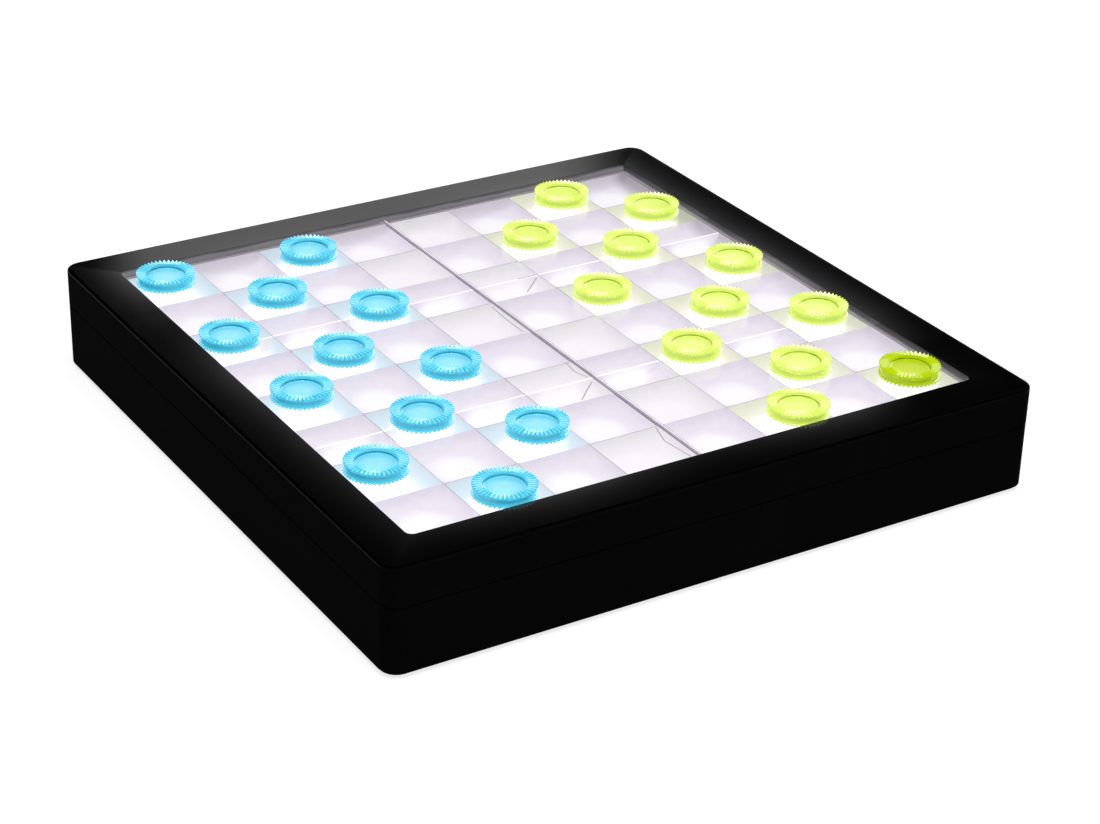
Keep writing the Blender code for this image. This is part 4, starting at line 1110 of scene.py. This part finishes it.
def find_tinted_lights():
    """The tint of the painted light for each square that a checker stands on."""
    tinted_lights = {}
    for name in frame["nodes"]:
        if "_checker_" not in name:
            continue
        low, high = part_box(name)
        place = (low + high) / 2
        row = round(place.x / SQUARE_SIDE + MIDDLE_NUMBER)
        column = round(MIDDLE_NUMBER - place.y / SQUARE_SIDE)
        tinted_lights[(row, column)] = BLUE_LIGHT_TINT if name.startswith("blue") else YELLOW_LIGHT_TINT
    return tinted_lights


# Setting

def make_camera():
    level = CAMERA_AIM.cross(Vector((0.0, 0.0, 1.0))).normalized()
    rise = level.cross(CAMERA_AIM).normalized()
    right = level * math.cos(CAMERA_ROLL) + rise * math.sin(CAMERA_ROLL)
    up = rise * math.cos(CAMERA_ROLL) - level * math.sin(CAMERA_ROLL)
    back = -CAMERA_AIM.normalized()
    turn = Matrix((right, up, back)).transposed().to_4x4()
    data = bpy.data.cameras.new("camera")
    data.lens = CAMERA_LENS
    data.sensor_width = CAMERA_SENSOR
    data.sensor_fit = "HORIZONTAL"
    data.clip_start, data.clip_end = CAMERA_CLIP
    camera = bpy.data.objects.new("camera", data)
    camera.matrix_world = Matrix.Translation(CAMERA_PLACE) @ turn
    bpy.context.scene.collection.objects.link(camera)
    bpy.context.scene.camera = camera


def floor_material():
    material = bpy.data.materials.new("pale_floor")
    material.use_nodes = True
    tree = material.node_tree
    tree.nodes.clear()
    where = add(tree, "TexCoord").outputs["Object"]
    cloud = noise(tree, where, 3.0, 2.0)
    colour = ramp(tree, cloud, [(0.3, (0.5, 0.5, 0.5)), (0.7, (0.52, 0.52, 0.52))])
    matt = add(tree, "BsdfDiffuse", {"Color": colour})
    path = add(tree, "LightPath")
    seen = calc(tree, "MAXIMUM", path.outputs["Is Camera Ray"], path.outputs["Is Glossy Ray"])
    seen = calc(tree, "MAXIMUM", seen, path.outputs["Is Transmission Ray"])
    pale = add(tree, "Emission", {"Strength": calc(tree, "MULTIPLY", seen, FLOOR_GLOW)})
    both = add(tree, "AddShader")
    tree.links.new(matt.outputs[0], both.inputs[0])
    tree.links.new(pale.outputs[0], both.inputs[1])
    output = add(tree, "OutputMaterial")
    tree.links.new(both.outputs[0], output.inputs["Surface"])
    return material


def make_floor():
    bm = bmesh.new()
    bmesh.ops.create_grid(bm, x_segments=FLOOR_CELLS, y_segments=FLOOR_CELLS, size=FLOOR_HALF)
    mesh = bpy.data.meshes.new("floor")
    bm.to_mesh(mesh)
    bm.free()
    mesh.materials.append(floor_material())
    floor = bpy.data.objects.new("floor", mesh)
    bpy.context.scene.collection.objects.link(floor)


def make_lamp(name, place, aim, width, height, power):
    data = bpy.data.lights.new(name, "AREA")
    data.shape = "RECTANGLE"
    data.size = width
    data.size_y = height
    data.energy = power
    lamp = bpy.data.objects.new(name, data)
    lamp.location = place
    lamp.rotation_euler = (Vector(aim) - Vector(place)).to_track_quat("-Z", "Y").to_euler()
    bpy.context.scene.collection.objects.link(lamp)
    return lamp


def keep_lamp_to(lamp, pieces):
    """A lamp that lights some of the pieces only."""
    group = bpy.data.collections.new(lamp.name + "_pieces")
    for piece in pieces:
        group.objects.link(piece)
    lamp.light_linking.receiver_collection = group


def keep_lamp_off(lamp, pieces):
    """A lamp that lights all but some of the pieces."""
    group = bpy.data.collections.new(lamp.name + "_left_out")
    for piece in pieces:
        group.objects.link(piece)
    for entry in group.collection_objects:
        entry.light_linking.link_state = "EXCLUDE"
    lamp.light_linking.receiver_collection = group


def make_rear_cards(shell):
    """Cards of unlike width, one before another; their mirror image fades along the rear bezel."""
    course = (REAR_CARD_AIM - REAR_CARD_PLACE).normalized()
    across = Vector((-course.y, course.x, 0.0))
    for number, (left, right) in enumerate(REAR_CARD_ENDS, 1):
        shift = across * (left + right) / 2 + course * REAR_CARD_STEP * number
        width = right - left
        power = REAR_CARD_POWER * width * REAR_CARD_HEIGHT
        place = REAR_CARD_PLACE + shift
        aim = REAR_CARD_AIM + shift
        card = make_lamp("rear_card_%d" % number, place, aim, width, REAR_CARD_HEIGHT, power)
        keep_lamp_to(card, [shell])


def make_light(shell, base, plates, checkers):
    overhead = make_lamp("overhead", *OVERHEAD)
    keep_lamp_off(overhead, [shell, base] + plates)
    fill = make_lamp("front_fill", *FRONT_FILL)
    keep_lamp_off(fill, plates)
    behind = make_lamp("rear_fill", *REAR_FILL)
    keep_lamp_off(behind, plates + checkers)
    make_rear_cards(shell)
    keep_lamp_to(make_lamp("side_card", *SIDE_CARD), checkers)
    keep_lamp_to(make_lamp("left_card", *LEFT_CARD), checkers)
    world = bpy.data.worlds.new("studio")
    world.use_nodes = True
    bpy.context.scene.world = world
    backdrop = world.node_tree.nodes["Background"]
    backdrop.inputs["Color"].default_value = (1.0, 1.0, 1.0, 1.0)
    backdrop.inputs["Strength"].default_value = WORLD_STRENGTH


# Build

make_camera()
make_floor()
bpy.context.scene.view_settings.view_transform = "Standard"

satin_black = case_side_material()
polished_black = case_top_material()
tinted_cup = cup_material("tinted_cup", TINTED_STOPS, CUP_STRENGTH)
pale_cup = cup_material("pale_cup", PALE_STOPS, CUP_STRENGTH)
rib_highlight = cup_material("rib_highlight", RIB_STOPS, RIB_STRENGTH)
clear_panel = clear_material()
seam_grey = pad_edge_shade_material()
blue_clear = (
    checker_material("blue_clear", BLUE_STOPS, CLEAR_INDEX, transmission=0.5, strength=0.33),
    checker_material("blue_dish", BLUE_DISH_STOPS, DISH_INDEX, transmission=0.6, strength=0.2),
)
yellow_clear = (
    checker_material("yellow_clear", YELLOW_STOPS, CLEAR_INDEX, transmission=0.4, strength=0.33),
    checker_material("yellow_dish", YELLOW_DISH_STOPS, DISH_INDEX, transmission=0.5, strength=0.26),
)

shell = make_upper_shell(satin_black, polished_black, case_edge_material())
base = dressed("lower_housing", satin_black)
left_plate = make_panel("play_panel_left", LEFT_ROWS, clear_panel, seam_grey)
right_plate = make_panel("play_panel_right", RIGHT_ROWS, clear_panel, seam_grey)
make_cups(tinted_cup, pale_cup, find_tinted_lights())
make_ribs(tinted_cup, pale_cup, rib_highlight)
make_creases(cup_material("crease_painted_shade", CREASE_STOPS, strength=1.0))
checkers = make_checkers(blue_clear, yellow_clear)
make_light(shell, base, [left_plate, right_plate], checkers)

make_seam(seam_bar_material())
dressed("battery_door", satin_black, DOOR_BEVEL)
rubber = plastic_material(
    "foot_rubber", (0.012, 0.012, 0.012), (0.02, 0.02, 0.021),
    roughness=0.75, grain=700.0, specular=0.25,
)
steel = metal_material("plated_steel", (0.55, 0.55, 0.56), (0.7, 0.7, 0.71))
spring_steel = metal_material("spring_steel", (0.6, 0.58, 0.55), (0.72, 0.7, 0.66), roughness=0.24)
for number in range(1, FEET + 1):
    dressed("foot_%d" % number, rubber, FOOT_BEVEL)
for number in range(1, SCREWS + 1):
    dressed("case_screw_%d" % number, steel, SCREW_BEVEL)
for name in ("contact_positive", "contact_negative", "contact_link_front", "contact_link_back"):
    dressed(name, spring_steel)
sleeve = jacket_material()
for number in range(1, CELLS + 1):
    dressed("battery_cell_%d" % number, sleeve, CELL_BEVEL)
casing = plastic_material("switch_casing", (0.2, 0.2, 0.21), (0.28, 0.28, 0.29), roughness=0.35)
dressed("switch_body", casing, SWITCH_BEVEL)
knob = plastic_material("switch_knob", (0.015, 0.015, 0.016), (0.025, 0.025, 0.026))
dressed("switch_slider", knob, KNOB_BEVEL)
dressed("reflector_tray", tray_material())
lamp_white = plastic_material(
    "lamp_board_white", (0.68, 0.69, 0.68), (0.78, 0.79, 0.78), roughness=0.35
)
dressed("lamp_board_left", lamp_white)
dressed("lamp_board_right", lamp_white)
red = plastic_material("lead_red", (0.35, 0.012, 0.01), (0.45, 0.02, 0.015), roughness=0.4)
black = plastic_material("lead_black", (0.01, 0.01, 0.01), (0.018, 0.018, 0.018), roughness=0.4)
dressed("lead_battery_to_switch", red)
dressed("lead_switch_to_board", red)
dressed("lead_battery_to_board", black)
dressed("lead_board_link", black)
